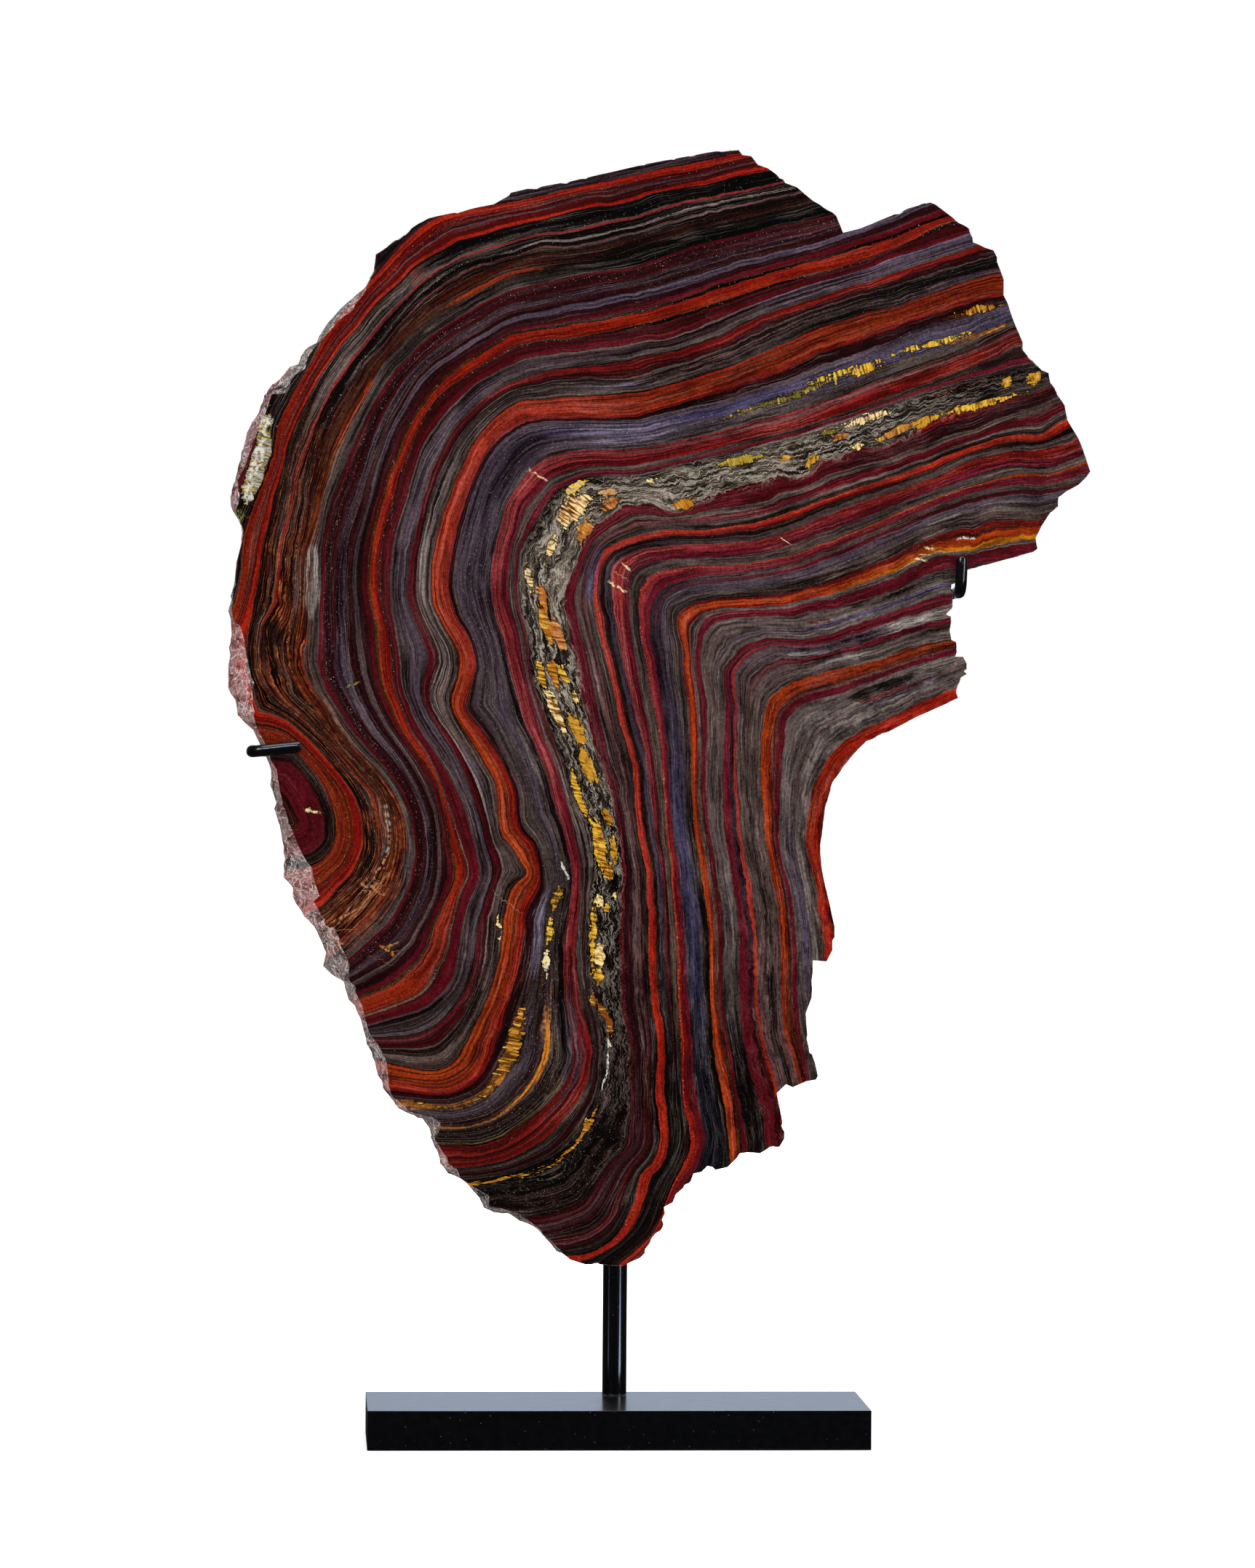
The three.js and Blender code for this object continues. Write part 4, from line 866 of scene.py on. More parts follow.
print("building the slab")
slab = {
    "faceGrid": 1.75,  # between points on the polished face
    "backGrid": 5.0,
    "sideStep": 1.7,  # between points along the sides
    "sideDepths": (0.36, 1.0, 2.0, 3.3, 4.7, 6.2, 7.7, 9.2, 10.7, 12.2, 13.6, 14.9, 15.6),  # behind the face
    "arris": 0.35,  # the small bevel round the polished face
    "backArris": 0.5,
    "chipDepth": 1.5,  # deepest chip in the face's edge
    "chipFades": 1.6,  # depth at which chips have run out
    "roughness": 0.9,  # how far the broken sides are eaten back
    "calmSpots": ((-178, 350, 16), (174, 436, 14)),  # x, z and radius where the sides rest in the hooks
    "calmFades": 8,  # width of the change to full roughness round them
    "dip": (-0.22, 0.12),  # how the layers lean in x and z for each mm through the slab
    "sharpAngle": 32,  # degrees
}


def cadRows(mesh):
    # the plain slab is made of matching loops, one behind the other: read them back as arrays of x and z
    places = np.empty(len(mesh.vertices) * 3)
    mesh.vertices.foreach_get("co", places)
    places = np.round(places.reshape(-1, 3) * 1000, 3)
    unique, index = np.unique(places, axis=0, return_inverse=True)
    index = index.ravel()
    depths = np.unique(unique[:, 1])
    row = np.searchsorted(depths, unique[:, 1])
    sideways, across = {}, {}
    for polygon in mesh.polygons:
        corners = [int(index[v]) for v in polygon.vertices]
        if len({row[c] for c in corners}) < 2:
            continue  # part of the face or the back
        for a, b in zip(corners, corners[1:] + corners[:1]):
            links = sideways if row[a] == row[b] else across
            links.setdefault(a, set()).add(b)
            links.setdefault(b, set()).add(a)

    def loopFrom(start, second):
        loop = [start, second]
        while True:
            options = [v for v in sideways[loop[-1]] if v != loop[-2]]
            if options[0] == start:
                return loop
            loop.append(options[0])

    first = int(np.flatnonzero(row == 0)[0])
    loop = loopFrom(first, sorted(sideways[first])[0])
    loops = [loop]
    for k in range(1, len(depths)):
        tries = []
        for start in [v for v in across[loop[0]] if row[v] == k]:
            ahead = min(sideways[start], key=lambda v: np.linalg.norm(unique[v] - unique[loop[1]]))
            trial = loopFrom(start, ahead)
            tries.append((np.linalg.norm(unique[trial] - unique[loop], axis=1).mean(), trial))
        loop = min(tries, key=lambda pair: pair[0])[1]
        loops.append(loop)
    return depths, [unique[loop][:, [0, 2]] for loop in loops]


def loopArea(loop):
    # positive where the loop runs counter-clockwise
    after = np.roll(loop, -1, axis=0)
    return 0.5 * (loop[:, 0] * after[:, 1] - after[:, 0] * loop[:, 1]).sum()


def inward(loop):
    # unit vectors into the stone, one for each point
    ahead = np.roll(loop, -1, axis=0) - np.roll(loop, 1, axis=0)
    ahead /= np.maximum(np.linalg.norm(ahead, axis=1), 1e-9)[:, None]
    side = np.stack([-ahead[:, 1], ahead[:, 0]], axis=1)
    return side if loopArea(loop) > 0 else -side


def fillLoop(loop, grid):
    # triangles over a flat loop, with points on an even triangular grid inside it
    clearOfLoop = 0.62 * grid
    low, high = loop.min(0), loop.max(0)
    rise = grid * math.sqrt(0.75)
    inner = []
    for k, z in enumerate(np.arange(low[1] + grid / 2, high[1], rise)):
        xs = np.arange(low[0] + (k % 2) * grid / 2, high[0], grid)
        inner.append(np.stack([xs, np.full(len(xs), z)], axis=1))
    inner = np.vstack(inner)
    inner = inner[insideLoop(loop, inner)]
    tree = KDTree(len(loop))
    for i, p in enumerate(loop):
        tree.insert((p[0], p[1], 0), i)
    tree.balance()
    inner = inner[np.array([tree.find((x, z, 0))[2] for x, z in inner]) > clearOfLoop]
    points = np.vstack([loop, inner])
    count = len(loop)
    edges = [(i, (i + 1) % count) for i in range(count)]
    outline = [list(range(count))]
    places, _, faces = delaunay_2d_cdt([Vector(p) for p in points], edges, outline, 1, 1e-5)[:3]
    if len(places) != len(points):
        raise ValueError("the loop crosses itself")
    return np.array([tuple(p) for p in places])[count:], [tuple(f) for f in faces]


def valueNoise(points, size, seed):
    # smooth noise from 0 to 1 over x, y and z, from scrambled whole numbers at the corners of cells
    cell = points / size
    base = np.floor(cell).astype(np.int64)
    part = smoothStep(cell - base)
    total = np.zeros(len(points))
    for corner in range(8):
        step = np.array([corner & 1, corner >> 1 & 1, corner >> 2 & 1])
        x, y, z = (base + step).T
        mixed = (x * 73856093 ^ y * 19349663 ^ z * 83492791 ^ seed * 2654435761) & 0xFFFFFF
        mixed = (mixed * 1103515245 + 12345 ^ mixed >> 7) & 0xFFFFFF
        weight = np.prod(np.where(step, part, 1 - part), axis=1)
        total += weight * (mixed / 0xFFFFFF)
    return total


def pulledIn(loop, amount):
    # move the loop inwards, easing off where its points would pass each other
    mostTries, shortest, easing = 60, 0.25, 0.75  # shortest: least length left of an edge, as a share
    side = inward(loop)
    edge = np.roll(loop, -1, axis=0) - loop
    amount = amount.copy()
    for _ in range(mostTries):
        moved = loop + side * amount[:, None]
        after = np.roll(moved, -1, axis=0) - moved
        bad = (after * edge).sum(1) < shortest * (edge ** 2).sum(1)
        if not bad.any():
            break
        bad = bad | np.roll(bad, 1)
        bad = bad | np.roll(bad, 1) | np.roll(bad, -1)
        amount[bad] *= easing
    return loop + side * amount[:, None]


def finerRows(plan, rows):
    # the same loops with points every few mm, where the plain ones have long edges
    rows = np.array(rows)
    gaps = np.linalg.norm(np.roll(rows, -1, axis=1) - rows, axis=2).max(0)
    share = [np.arange(n) / n for n in np.maximum(1, np.ceil(gaps / plan["sideStep"]).astype(int))]
    index = np.concatenate([i + t for i, t in enumerate(share)])
    whole = index.astype(int)
    part = (index - whole)[:, None]
    return rows[:, whole] * (1 - part) + rows[:, (whole + 1) % rows.shape[1]] * part


def fineSides(plan, depths, rows):
    # the broken sides, as loops from the arris to the back edge
    fine = finerRows(plan, rows)
    calm = np.ones(fine.shape[1])
    for x, z, radius in plan["calmSpots"]:
        away = np.hypot(fine[0][:, 0] - x, fine[0][:, 1] - z)
        calm = np.minimum(calm, smoothStep((away - radius) / plan["calmFades"]) * 0.9 + 0.1)
    below = depths - depths[0]
    sideDepths = (0.0, *plan["sideDepths"], below[-1])
    places = []
    for depth in sideDepths:
        k = min(int(np.searchsorted(below, depth, side="right")) - 1, len(depths) - 2)
        t = (depth + depths[0] - depths[k]) / (depths[k + 1] - depths[k])
        places.append(fine[k] * (1 - t) + fine[k + 1] * t)
    edge = np.column_stack([places[0][:, 0], np.zeros(len(calm)), places[0][:, 1]])
    chips = smoothStep((valueNoise(edge, 5, 3) - 0.62) / 0.3) * (0.35 + 0.65 * valueNoise(edge, 27, 8))
    chips *= calm * plan["chipDepth"]
    loops = []
    for depth, loop in zip(sideDepths, places):
        spots = np.column_stack([loop[:, 0], np.full(len(loop), depth), loop[:, 1]])
        bite = 0.55 * valueNoise(spots, 7, 1) + 0.3 * valueNoise(spots, 2.6, 2)
        bite = bite + 0.15 * valueNoise(spots, 14, 4)
        facet = np.abs(valueNoise(spots, 11, 6) - 0.5) * 1.4
        eaten = plan["roughness"] * (bite * 0.8 + facet * 0.6) * calm
        if depth == 0:
            amount = plan["arris"] + chips
        else:
            amount = eaten * min(1.0, depth / 2.0) + chips * max(0.0, 1 - depth / plan["chipFades"])
        if depth == sideDepths[-1]:
            amount = amount + plan["backArris"]
        loops.append(pulledIn(loop, amount))
    return sideDepths, loops


def makeSlab(plan):
    face, sawn, side = 0, 2, 1  # the material slots
    depths, rows = cadRows(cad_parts["slab"].data)
    sideDepths, loops = fineSides(plan, depths, rows)
    count = len(loops[0])
    frontInner, frontFaces = fillLoop(loops[0], plan["faceGrid"])
    backInner, backFaces = fillLoop(loops[-1], plan["backGrid"])
    lastLoop = (len(loops) - 1) * count
    frontStart = len(loops) * count
    backStart = frontStart + len(frontInner)
    points = [np.column_stack([loop, np.full(count, depth)]) for depth, loop in zip(sideDepths, loops)]
    points.append(np.column_stack([frontInner, np.zeros(len(frontInner))]))
    points.append(np.column_stack([backInner, np.full(len(backInner), sideDepths[-1])]))
    points = np.vstack(points)  # x, z and depth behind the face

    def turned(f, towardsBack):
        # corner order so that the normal points out: -Y on the face, +Y on the back
        a, b, c = (points[i][:2] for i in f)
        twice = (b[0] - a[0]) * (c[1] - a[1]) - (b[1] - a[1]) * (c[0] - a[0])
        return f if (twice < 0) == towardsBack else f[::-1]

    faces = [turned(tuple(i if i < count else i - count + frontStart for i in f), False) for f in frontFaces]
    faces += [turned(tuple(i + lastLoop if i < count else i - count + backStart for i in f), True)
              for f in backFaces]
    kinds = [face] * len(frontFaces) + [sawn] * len(backFaces)
    clockwise = loopArea(loops[0]) <= 0
    for k in range(len(loops) - 1):
        for i in range(count):
            j = (i + 1) % count
            a, b, c, d = k * count + i, k * count + j, (k + 1) * count + j, (k + 1) * count + i
            faces.append((a, b, c, d) if clockwise else (a, d, c, b))
            kinds.append(side)
    mesh = bpy.data.meshes.new("slab")
    places = np.column_stack([points[:, 0], points[:, 2] + depths[0], points[:, 1]]) * mm
    mesh.from_pydata(places.tolist(), [], faces)
    mesh.polygons.foreach_set("material_index", kinds)
    mesh.update()
    for name, values in stoneFacts(points[:, :2], points[:, 2], plan["dip"]).items():
        isColour = values.ndim == 2
        layer = mesh.attributes.new(name, "FLOAT_COLOR" if isColour else "FLOAT", "POINT")
        layer.data.foreach_set("color" if isColour else "value", values.astype(np.float32).ravel())
    mesh.shade_smooth()
    mesh.set_sharp_from_angle(angle=math.radians(plan["sharpAngle"]))
    piece = bpy.data.objects.new("bandedSlab", mesh)
    bpy.context.scene.collection.objects.link(piece)
    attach(piece, "root")
    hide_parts("slab")
    print("  triangles on face, back and sides:", len(frontFaces), len(backFaces), 2 * (frontStart - count))
    return piece


stone = makeSlab(slab)

print("mixing the materials")
stoneLook = {
    "foldWobble": 1.1,  # mm, how far layers wander over about 20 mm
    "crenulation": 1.1,  # mm, small waves that run through neighbouring layers
    "fineWobble": 0.3,  # mm, over about 4 mm
    "crinkle": 2.2,  # mm, extra wobble in the crinkled seam
    "grain": 2.4,
    "polish": (0.16, 0.28),  # roughness from and to
    "gloss": 0.3,
    "deepen": 0.0035,  # taken off every colour, in light
    "layersInGroup": 15,  # a colour ramp holds 32 stops, two to a layer
    "groupHeight": 46,  # mm, most height one ramp covers
}


def put(tree, kind, **settings):
    node = tree.nodes.new(kind)
    for key, value in settings.items():
        setattr(node, key, value)
    return node


def plug(tree, socket, value):
    if isinstance(value, bpy.types.NodeSocket):
        tree.links.new(value, socket)
    else:
        socket.default_value = value


def calc(tree, operation, a, b=0.0, c=0.0):
    node = put(tree, "ShaderNodeMath", operation=operation)
    for socket, value in zip(node.inputs, (a, b, c)):
        plug(tree, socket, value)
    return node.outputs[0]


def plus(tree, a, b):
    return calc(tree, "ADD", a, b)


def minus(tree, a, b):
    return calc(tree, "SUBTRACT", a, b)


def times(tree, a, b):
    return calc(tree, "MULTIPLY", a, b)


def timesPlus(tree, a, b, c):
    # a times b, plus c
    return calc(tree, "MULTIPLY_ADD", a, b, c)


def ramped(tree, value, low, high, outLow=0.0, outHigh=1.0):
    node = put(tree, "ShaderNodeMapRange", clamp=True)
    for socket, number in zip(node.inputs, (value, low, high, outLow, outHigh)):
        plug(tree, socket, number)
    return node.outputs[0]


def blended(tree, amount, a, b, mode="MIX"):
    node = put(tree, "ShaderNodeMix", data_type="RGBA", blend_type=mode)
    plug(tree, node.inputs[0], amount)
    plug(tree, node.inputs[6], a)
    plug(tree, node.inputs[7], b)
    return node.outputs[2]


def fact(tree, name, colour=False):
    node = put(tree, "ShaderNodeAttribute", attribute_name=name)
    return node.outputs["Color" if colour else "Fac"]


def joined(tree, x, y, z):
    node = put(tree, "ShaderNodeCombineXYZ")
    for socket, value in zip(node.inputs, (x, y, z)):
        plug(tree, socket, value)
    return node.outputs[0]


def noise(tree, place, scale, detail=2.0, rough=0.5, distortion=0.0):
    node = put(tree, "ShaderNodeTexNoise", noise_dimensions="3D")
    plug(tree, node.inputs["Vector"], place)
    node.inputs["Scale"].default_value = scale
    node.inputs["Detail"].default_value = detail
    node.inputs["Roughness"].default_value = rough
    node.inputs["Distortion"].default_value = distortion
    return node.outputs[0]


def millimetres(tree):
    where = put(tree, "ShaderNodeTexCoord")
    node = put(tree, "ShaderNodeVectorMath", operation="SCALE")
    tree.links.new(where.outputs["Object"], node.inputs[0])
    node.inputs["Scale"].default_value = 1000
    return node.outputs[0]


def layerList():
    # every layer as (top, bottom, five colours, lamination, specks), heights in the evened pile
    tops = evenedLog()
    layers = []
    for i, (_, inside) in enumerate(layerLog):
        thick = tops[i + 1] - tops[i]
        for k, (share, colours, lamination, specks) in enumerate(inside):
            end = inside[k + 1][0] if k + 1 < len(inside) else 1
            top, bottom = tops[i] + share * thick, tops[i] + end * thick
            layers.append((top, bottom, colours.split(), lamination, specks))
    return layers


def colourRamp(tree, value, stops):
    # stops: (start, end, colour) with places from 0 to 1, and a soft step from each colour to the next
    softness = 0.0025
    node = put(tree, "ShaderNodeValToRGB")
    plug(tree, node.inputs[0], value)
    ramp = node.color_ramp
    ramp.interpolation = "LINEAR"
    pairs = []
    for k, (start, end, colour) in enumerate(stops):
        edge = min(softness, (end - start) / 3)
        pairs.append((start + (edge if k else 0), colour))
        pairs.append((end - edge, colour))
    ramp.elements[0].position, ramp.elements[0].color = pairs[0]
    ramp.elements[1].position, ramp.elements[1].color = pairs[-1]
    for place, colour in pairs[1:-1]:
        ramp.elements.new(place).color = colour
    return node.outputs[0]


def packetGroup(chunk, number):
    # one stretch of the pile: its colours blended between the stations, and its lamination and specks
    tree = bpy.data.node_groups.new("layers" + str(number), "ShaderNodeTree")
    face = tree.interface
    face.new_socket("Height", in_out="INPUT", socket_type="NodeSocketFloat")
    for k in range(len(stations) - 1):
        face.new_socket("Share" + str(k), in_out="INPUT", socket_type="NodeSocketFloat")
    face.new_socket("Colour", in_out="OUTPUT", socket_type="NodeSocketColor")
    face.new_socket("Control", in_out="OUTPUT", socket_type="NodeSocketColor")
    given, out = put(tree, "NodeGroupInput"), put(tree, "NodeGroupOutput")
    low, high = chunk[0][0], chunk[-1][1]
    span = high - low
    value = ramped(tree, given.outputs["Height"], low, high)
    spots = [((a - low) / span, (b - low) / span) for a, b, *_ in chunk]
    here = None
    for k in range(len(stations)):
        ramp = colourRamp(tree, value, [(a, b, linear(layer[2][k])) for (a, b), layer in zip(spots, chunk)])
        here = ramp if here is None else blended(tree, given.outputs["Share" + str(k - 1)], here, ramp)
    marks = [(a, b, (layer[3], layer[4], 0, 1)) for (a, b), layer in zip(spots, chunk)]
    control = colourRamp(tree, value, marks)
    tree.links.new(here, out.inputs["Colour"])
    tree.links.new(control, out.inputs["Control"])
    return tree


def layeredStone(look):
    # a group that turns height in the pile and turn round the fold into the stone's colour
    layers = layerList()
    chunks, current = [], []
    for layer in layers:
        full = len(current) == look["layersInGroup"]
        if current and (full or layer[1] - current[0][0] > look["groupHeight"]):
            chunks.append(current)
            current = []
        current.append(layer)
    chunks.append(current)
    groups = [packetGroup(chunk, k) for k, chunk in enumerate(chunks)]

    tree = bpy.data.node_groups.new("layeredStone", "ShaderNodeTree")
    tree.interface.new_socket("Colour", in_out="OUTPUT", socket_type="NodeSocketColor")
    tree.interface.new_socket("Place", in_out="OUTPUT", socket_type="NodeSocketVector")
    out = put(tree, "NodeGroupOutput")
    place = millimetres(tree)
    rawHeight, turn = fact(tree, "strata"), fact(tree, "turn")

    # wobble: slow drift, small crenulations that neighbouring layers share, and more of them in the seam
    inSeam = times(tree, ramped(tree, rawHeight, 161, 168), ramped(tree, rawHeight, 192, 186))

    def wave(acrossTurn, acrossHeight, seed, detail):
        spot = joined(tree, times(tree, turn, acrossTurn), times(tree, rawHeight, acrossHeight), seed)
        return minus(tree, noise(tree, spot, 1, detail, 0.55), 0.5)

    slow = minus(tree, noise(tree, place, 0.045, 2, 0.5), 0.5)
    quick = minus(tree, noise(tree, place, 0.22, 3, 0.6), 0.5)
    crease = wave(0.9, 0.05, 0.0, 3)
    crenulation = wave(0.55, 0.045, 17.0, 3)
    height = timesPlus(tree, slow, look["foldWobble"] * 2, rawHeight)
    height = timesPlus(tree, crenulation, look["crenulation"] * 2, height)
    height = timesPlus(tree, quick, look["fineWobble"] * 2, height)
    height = timesPlus(tree, times(tree, crease, inSeam), look["crinkle"] * 4, height)
    drift = timesPlus(tree, slow, 16.0, turn)

    # the stations' shares at this turn
    shares = [ramped(tree, drift, a, b) for a, b in zip(stations[:-1], stations[1:])]
    colour, control = None, None
    for chunk, group in zip(chunks, groups):
        node = put(tree, "ShaderNodeGroup")
        node.node_tree = group
        tree.links.new(height, node.inputs["Height"])
        for k, share in enumerate(shares):
            tree.links.new(share, node.inputs["Share" + str(k)])
        if colour is None:
            colour, control = node.outputs["Colour"], node.outputs["Control"]
        else:
            step = calc(tree, "GREATER_THAN", height, chunk[0][0])
            colour = blended(tree, step, colour, node.outputs["Colour"])
            control = blended(tree, step, control, node.outputs["Control"])
    split = put(tree, "ShaderNodeSeparateColor")
    tree.links.new(control, split.inputs[0])
    lamination, speckled = split.outputs[0], split.outputs[1]

    # lamination: streaks and hair-thin lines that run along the layers
    def streak(across, along, seed, detail, rough):
        spot = joined(tree, times(tree, height, across), times(tree, turn, along), seed)
        return minus(tree, noise(tree, spot, 1, detail, rough), 0.5)

    def lines(across, along, seed, width):
        # 1 on thin lines, 0 between them
        value = calc(tree, "ABSOLUTE", streak(across, along, seed, 2, 0.5))
        return ramped(tree, value, width, width * 0.25)

    strength = timesPlus(tree, lamination, 0.75, 0.25)
    broad = streak(0.22, 0.07, 1.0, 3, 0.6)
    thin = streak(0.8, 0.12, 7.0, 3, 0.55)
    hair = streak(2.4, 0.35, 13.0, 3, 0.6)

    # patches, feathered out along the layers
    edge = timesPlus(tree, broad, 1.3, fact(tree, "patch"))
    edge = timesPlus(tree, thin, 1.6, edge)
    amount = ramped(tree, edge, 0.30, 0.62)
    amount = times(tree, amount, ramped(tree, fact(tree, "patch"), 0.0, 0.35))
    colour = blended(tree, times(tree, amount, 0.85), colour, fact(tree, "patchColour", True))
    strength = calc(tree, "MAXIMUM", strength, times(tree, amount, 0.9))

    fabric = plus(tree, times(tree, broad, 0.9), times(tree, thin, 1.7))
    fabric = plus(tree, fabric, times(tree, hair, 1.2))
    light = times(tree, ramped(tree, fabric, 0.04, 0.45), strength)
    dark = times(tree, ramped(tree, fabric, 0.04, -0.34), strength)
    inked = calc(tree, "MAXIMUM", lines(0.36, 0.035, 21.0, 0.045), lines(0.75, 0.06, 33.0, 0.05))
    inked = times(tree, inked, timesPlus(tree, strength, 0.6, 0.3))
    inked = times(tree, inked, ramped(tree, streak(0.15, 0.25, 71.0, 2, 0.5), -0.12, 0.02))
    silvered = calc(tree, "MAXIMUM", lines(0.5, 0.05, 45.0, 0.028), lines(0.95, 0.08, 52.0, 0.028))
    silvered = times(tree, silvered, times(tree, lamination, ramped(tree, broad, -0.05, 0.10)))
    brighter = blended(tree, 1.0, colour, (1.9, 1.8, 1.75, 1), "MULTIPLY")
    brighter = blended(tree, 1.0, brighter, linear("#0c0a09"), "ADD")
    colour = blended(tree, times(tree, light, 0.8), colour, brighter)
    shade = blended(tree, 1.0, colour, (0.16, 0.12, 0.12, 1), "MULTIPLY")
    colour = blended(tree, times(tree, dark, 0.9), colour, shade)
    pale = blended(tree, 0.35, linear("#7d726a"), blended(tree, 1.0, colour, (4, 4, 4, 1), "MULTIPLY"))
    colour = blended(tree, times(tree, silvered, 0.6), colour, pale)
    colour = blended(tree, times(tree, inked, 0.92), colour, linear("#060303"))

    # the dark beds under the hinge: broken threads of rust and ember along the layers
    hinge = times(tree, ramped(tree, rawHeight, 12, 17), ramped(tree, rawHeight, 43, 38))
    hinge = times(tree, hinge, ramped(tree, drift, 138, 150))
    ember = times(tree, lines(0.8, 0.12, 81.0, 0.075), ramped(tree, hair, -0.04, 0.10))
    dimmed = times(tree, lines(0.6, 0.07, 85.0, 0.06), times(tree, hinge, 0.85))
    colour = blended(tree, dimmed, colour, linear("#0a0605"))
    rusty = blended(tree, ramped(tree, quick, -0.05, 0.12), linear("#762a12"), linear("#a85e34"))
    colour = blended(tree, times(tree, ember, times(tree, hinge, 0.8)), colour, rusty)

    # cloudiness within a layer, and grain
    cloud = minus(tree, noise(tree, place, 0.035, 3, 0.6), 0.5)
    grain = minus(tree, noise(tree, place, 0.62, 3, 0.8), 0.5)
    gain = plus(tree, timesPlus(tree, cloud, 0.5, 1.0), times(tree, grain, look["grain"]))
    colour = blended(tree, 1.0, colour, joined(tree, gain, gain, gain), "MULTIPLY")

    # the seam: crumpled black and silver threads
    folds = timesPlus(tree, quick, 7.0, timesPlus(tree, crease, 9.0, rawHeight))
    thread = joined(tree, times(tree, folds, 0.55), times(tree, turn, 0.35), 60.0)
    thread = minus(tree, noise(tree, thread, 1, 4, 0.65), 0.5)
    blackThread = ramped(tree, thread, 0.01, -0.09)
    silverThread = ramped(tree, calc(tree, "ABSOLUTE", minus(tree, thread, 0.07)), 0.045, 0.01)
    reach = times(tree, inSeam, ramped(tree, drift, 205, 150))
    reach = times(tree, reach, ramped(tree, turn, 88, 106, 0.15, 1))
    blackened = times(tree, blackThread, times(tree, inSeam, 0.85))
    colour = blended(tree, blackened, colour, linear("#0e0b0a"))
    colour = blended(tree, times(tree, silverThread, times(tree, reach, 0.8)), colour, linear("#a39a8c"))

    # quartz eyes with fibres across the layers, torn at their ends
    tears = joined(tree, times(tree, turn, 1.3), times(tree, rawHeight, 0.35), 9.0)
    ragged = noise(tree, tears, 1, 3, 0.6)
    # how far along the layers, so that the fibres stand square to them:
    # down the lower limb, out along the upper one
    parts = put(tree, "ShaderNodeSeparateXYZ")
    tree.links.new(place, parts.inputs[0])
    lower = ramped(tree, turn, 118, 140)
    fall = times(tree, minus(tree, parts.outputs[2], 470), timesPlus(tree, lower, 0.75, 0.25))
    run = plus(tree, parts.outputs[0], 45)
    along = timesPlus(tree, run, timesPlus(tree, lower, -0.75, 0.95), fall)
    grainwise = joined(tree, times(tree, along, 0.75), times(tree, rawHeight, 0.09), 3.0)
    fibre = noise(tree, grainwise, 1, 3, 0.6)
    rim = plus(tree, fact(tree, "eye"), timesPlus(tree, ragged, 6.5, -2.9))
    rim = plus(tree, rim, timesPlus(tree, fibre, 2.4, -1.2))
    rim = timesPlus(tree, quick, 2.0, rim)
    rim = timesPlus(tree, thin, 2.6, rim)
    eye = ramped(tree, rim, -0.05, 0.3)
    streaks = ramped(tree, fibre, 0.42, 0.54)
    glow = blended(tree, streaks, fact(tree, "eyeColour", True), fact(tree, "eyeSecond", True))
    glow = blended(tree, ramped(tree, fibre, 0.56, 0.63, 0, 0.55), glow, linear("#dcb75c"))
    glow = blended(tree, ramped(tree, fibre, 0.49, 0.36, 0, 0.9), glow, linear("#3a200c"))
    glow = blended(tree, ramped(tree, ragged, 0.50, 0.36, 0, 0.7), glow, linear("#5a3410"))
    halo = times(tree, ramped(tree, rim, -0.9, -0.2), 0.8)
    colour = blended(tree, halo, colour, linear("#120c09"))
    colour = blended(tree, eye, colour, glow)

    # veins: thin, wandering and broken
    wander = timesPlus(tree, quick, 7.0, fact(tree, "veinSide"))
    gaps = ramped(tree, noise(tree, place, 0.45, 2, 0.6), 0.40, 0.52)
    line = ramped(tree, calc(tree, "ABSOLUTE", wander), 0.95, 0.35)
    line = times(tree, line, ramped(tree, fact(tree, "veinReach"), -0.3, 1.5))
    line = times(tree, line, times(tree, gaps, 0.85))
    colour = blended(tree, line, colour, fact(tree, "veinColour", True))

    # specks of quartz and ore
    def specks(scale, rarity, biggest):
        cells = put(tree, "ShaderNodeTexVoronoi", feature="F1")
        cells.inputs["Scale"].default_value = scale
        tree.links.new(place, cells.inputs["Vector"])
        parts = put(tree, "ShaderNodeSeparateColor")
        tree.links.new(cells.outputs["Color"], parts.inputs[0])
        size = ramped(tree, parts.outputs[0], rarity, 1.0, 0.0, biggest)
        size = times(tree, size, timesPlus(tree, speckled, 0.85, 0.3))
        dot = ramped(tree, minus(tree, size, cells.outputs["Distance"]), 0.0, 0.12)
        return dot, parts.outputs[1]

    for scale, rarity, biggest in ((0.8, 0.86, 0.36), (1.6, 0.70, 0.42)):
        dot, tone = specks(scale, rarity, biggest)
        mineral = blended(tree, tone, linear("#b5a893"), linear("#7d706b"))
        colour = blended(tree, times(tree, dot, 0.6), colour, mineral)

    # polish keeps the darks dark
    colour = blended(tree, 1.0, colour, (look["deepen"],) * 3 + (1,), "SUBTRACT")
    limited = put(tree, "ShaderNodeVectorMath", operation="MAXIMUM")
    tree.links.new(colour, limited.inputs[0])
    limited.inputs[1].default_value = (0.0006, 0.0005, 0.0005)
    tree.links.new(limited.outputs[0], out.inputs["Colour"])
    tree.links.new(place, out.inputs["Place"])
    return tree


def startFinish(name):
    # a new material with its shader already joined to the surface
    material = bpy.data.materials.new(name)
    material.use_nodes = True
    tree = material.node_tree
    tree.nodes.clear()
    shader, out = put(tree, "ShaderNodeBsdfPrincipled"), put(tree, "ShaderNodeOutputMaterial")
    tree.links.new(shader.outputs[0], out.inputs["Surface"])
    return material, tree, shader


def useStone(tree, group):
    # the layered stone's outputs inside one of its finishes
    node = put(tree, "ShaderNodeGroup")
    node.node_tree = group
    return node.outputs


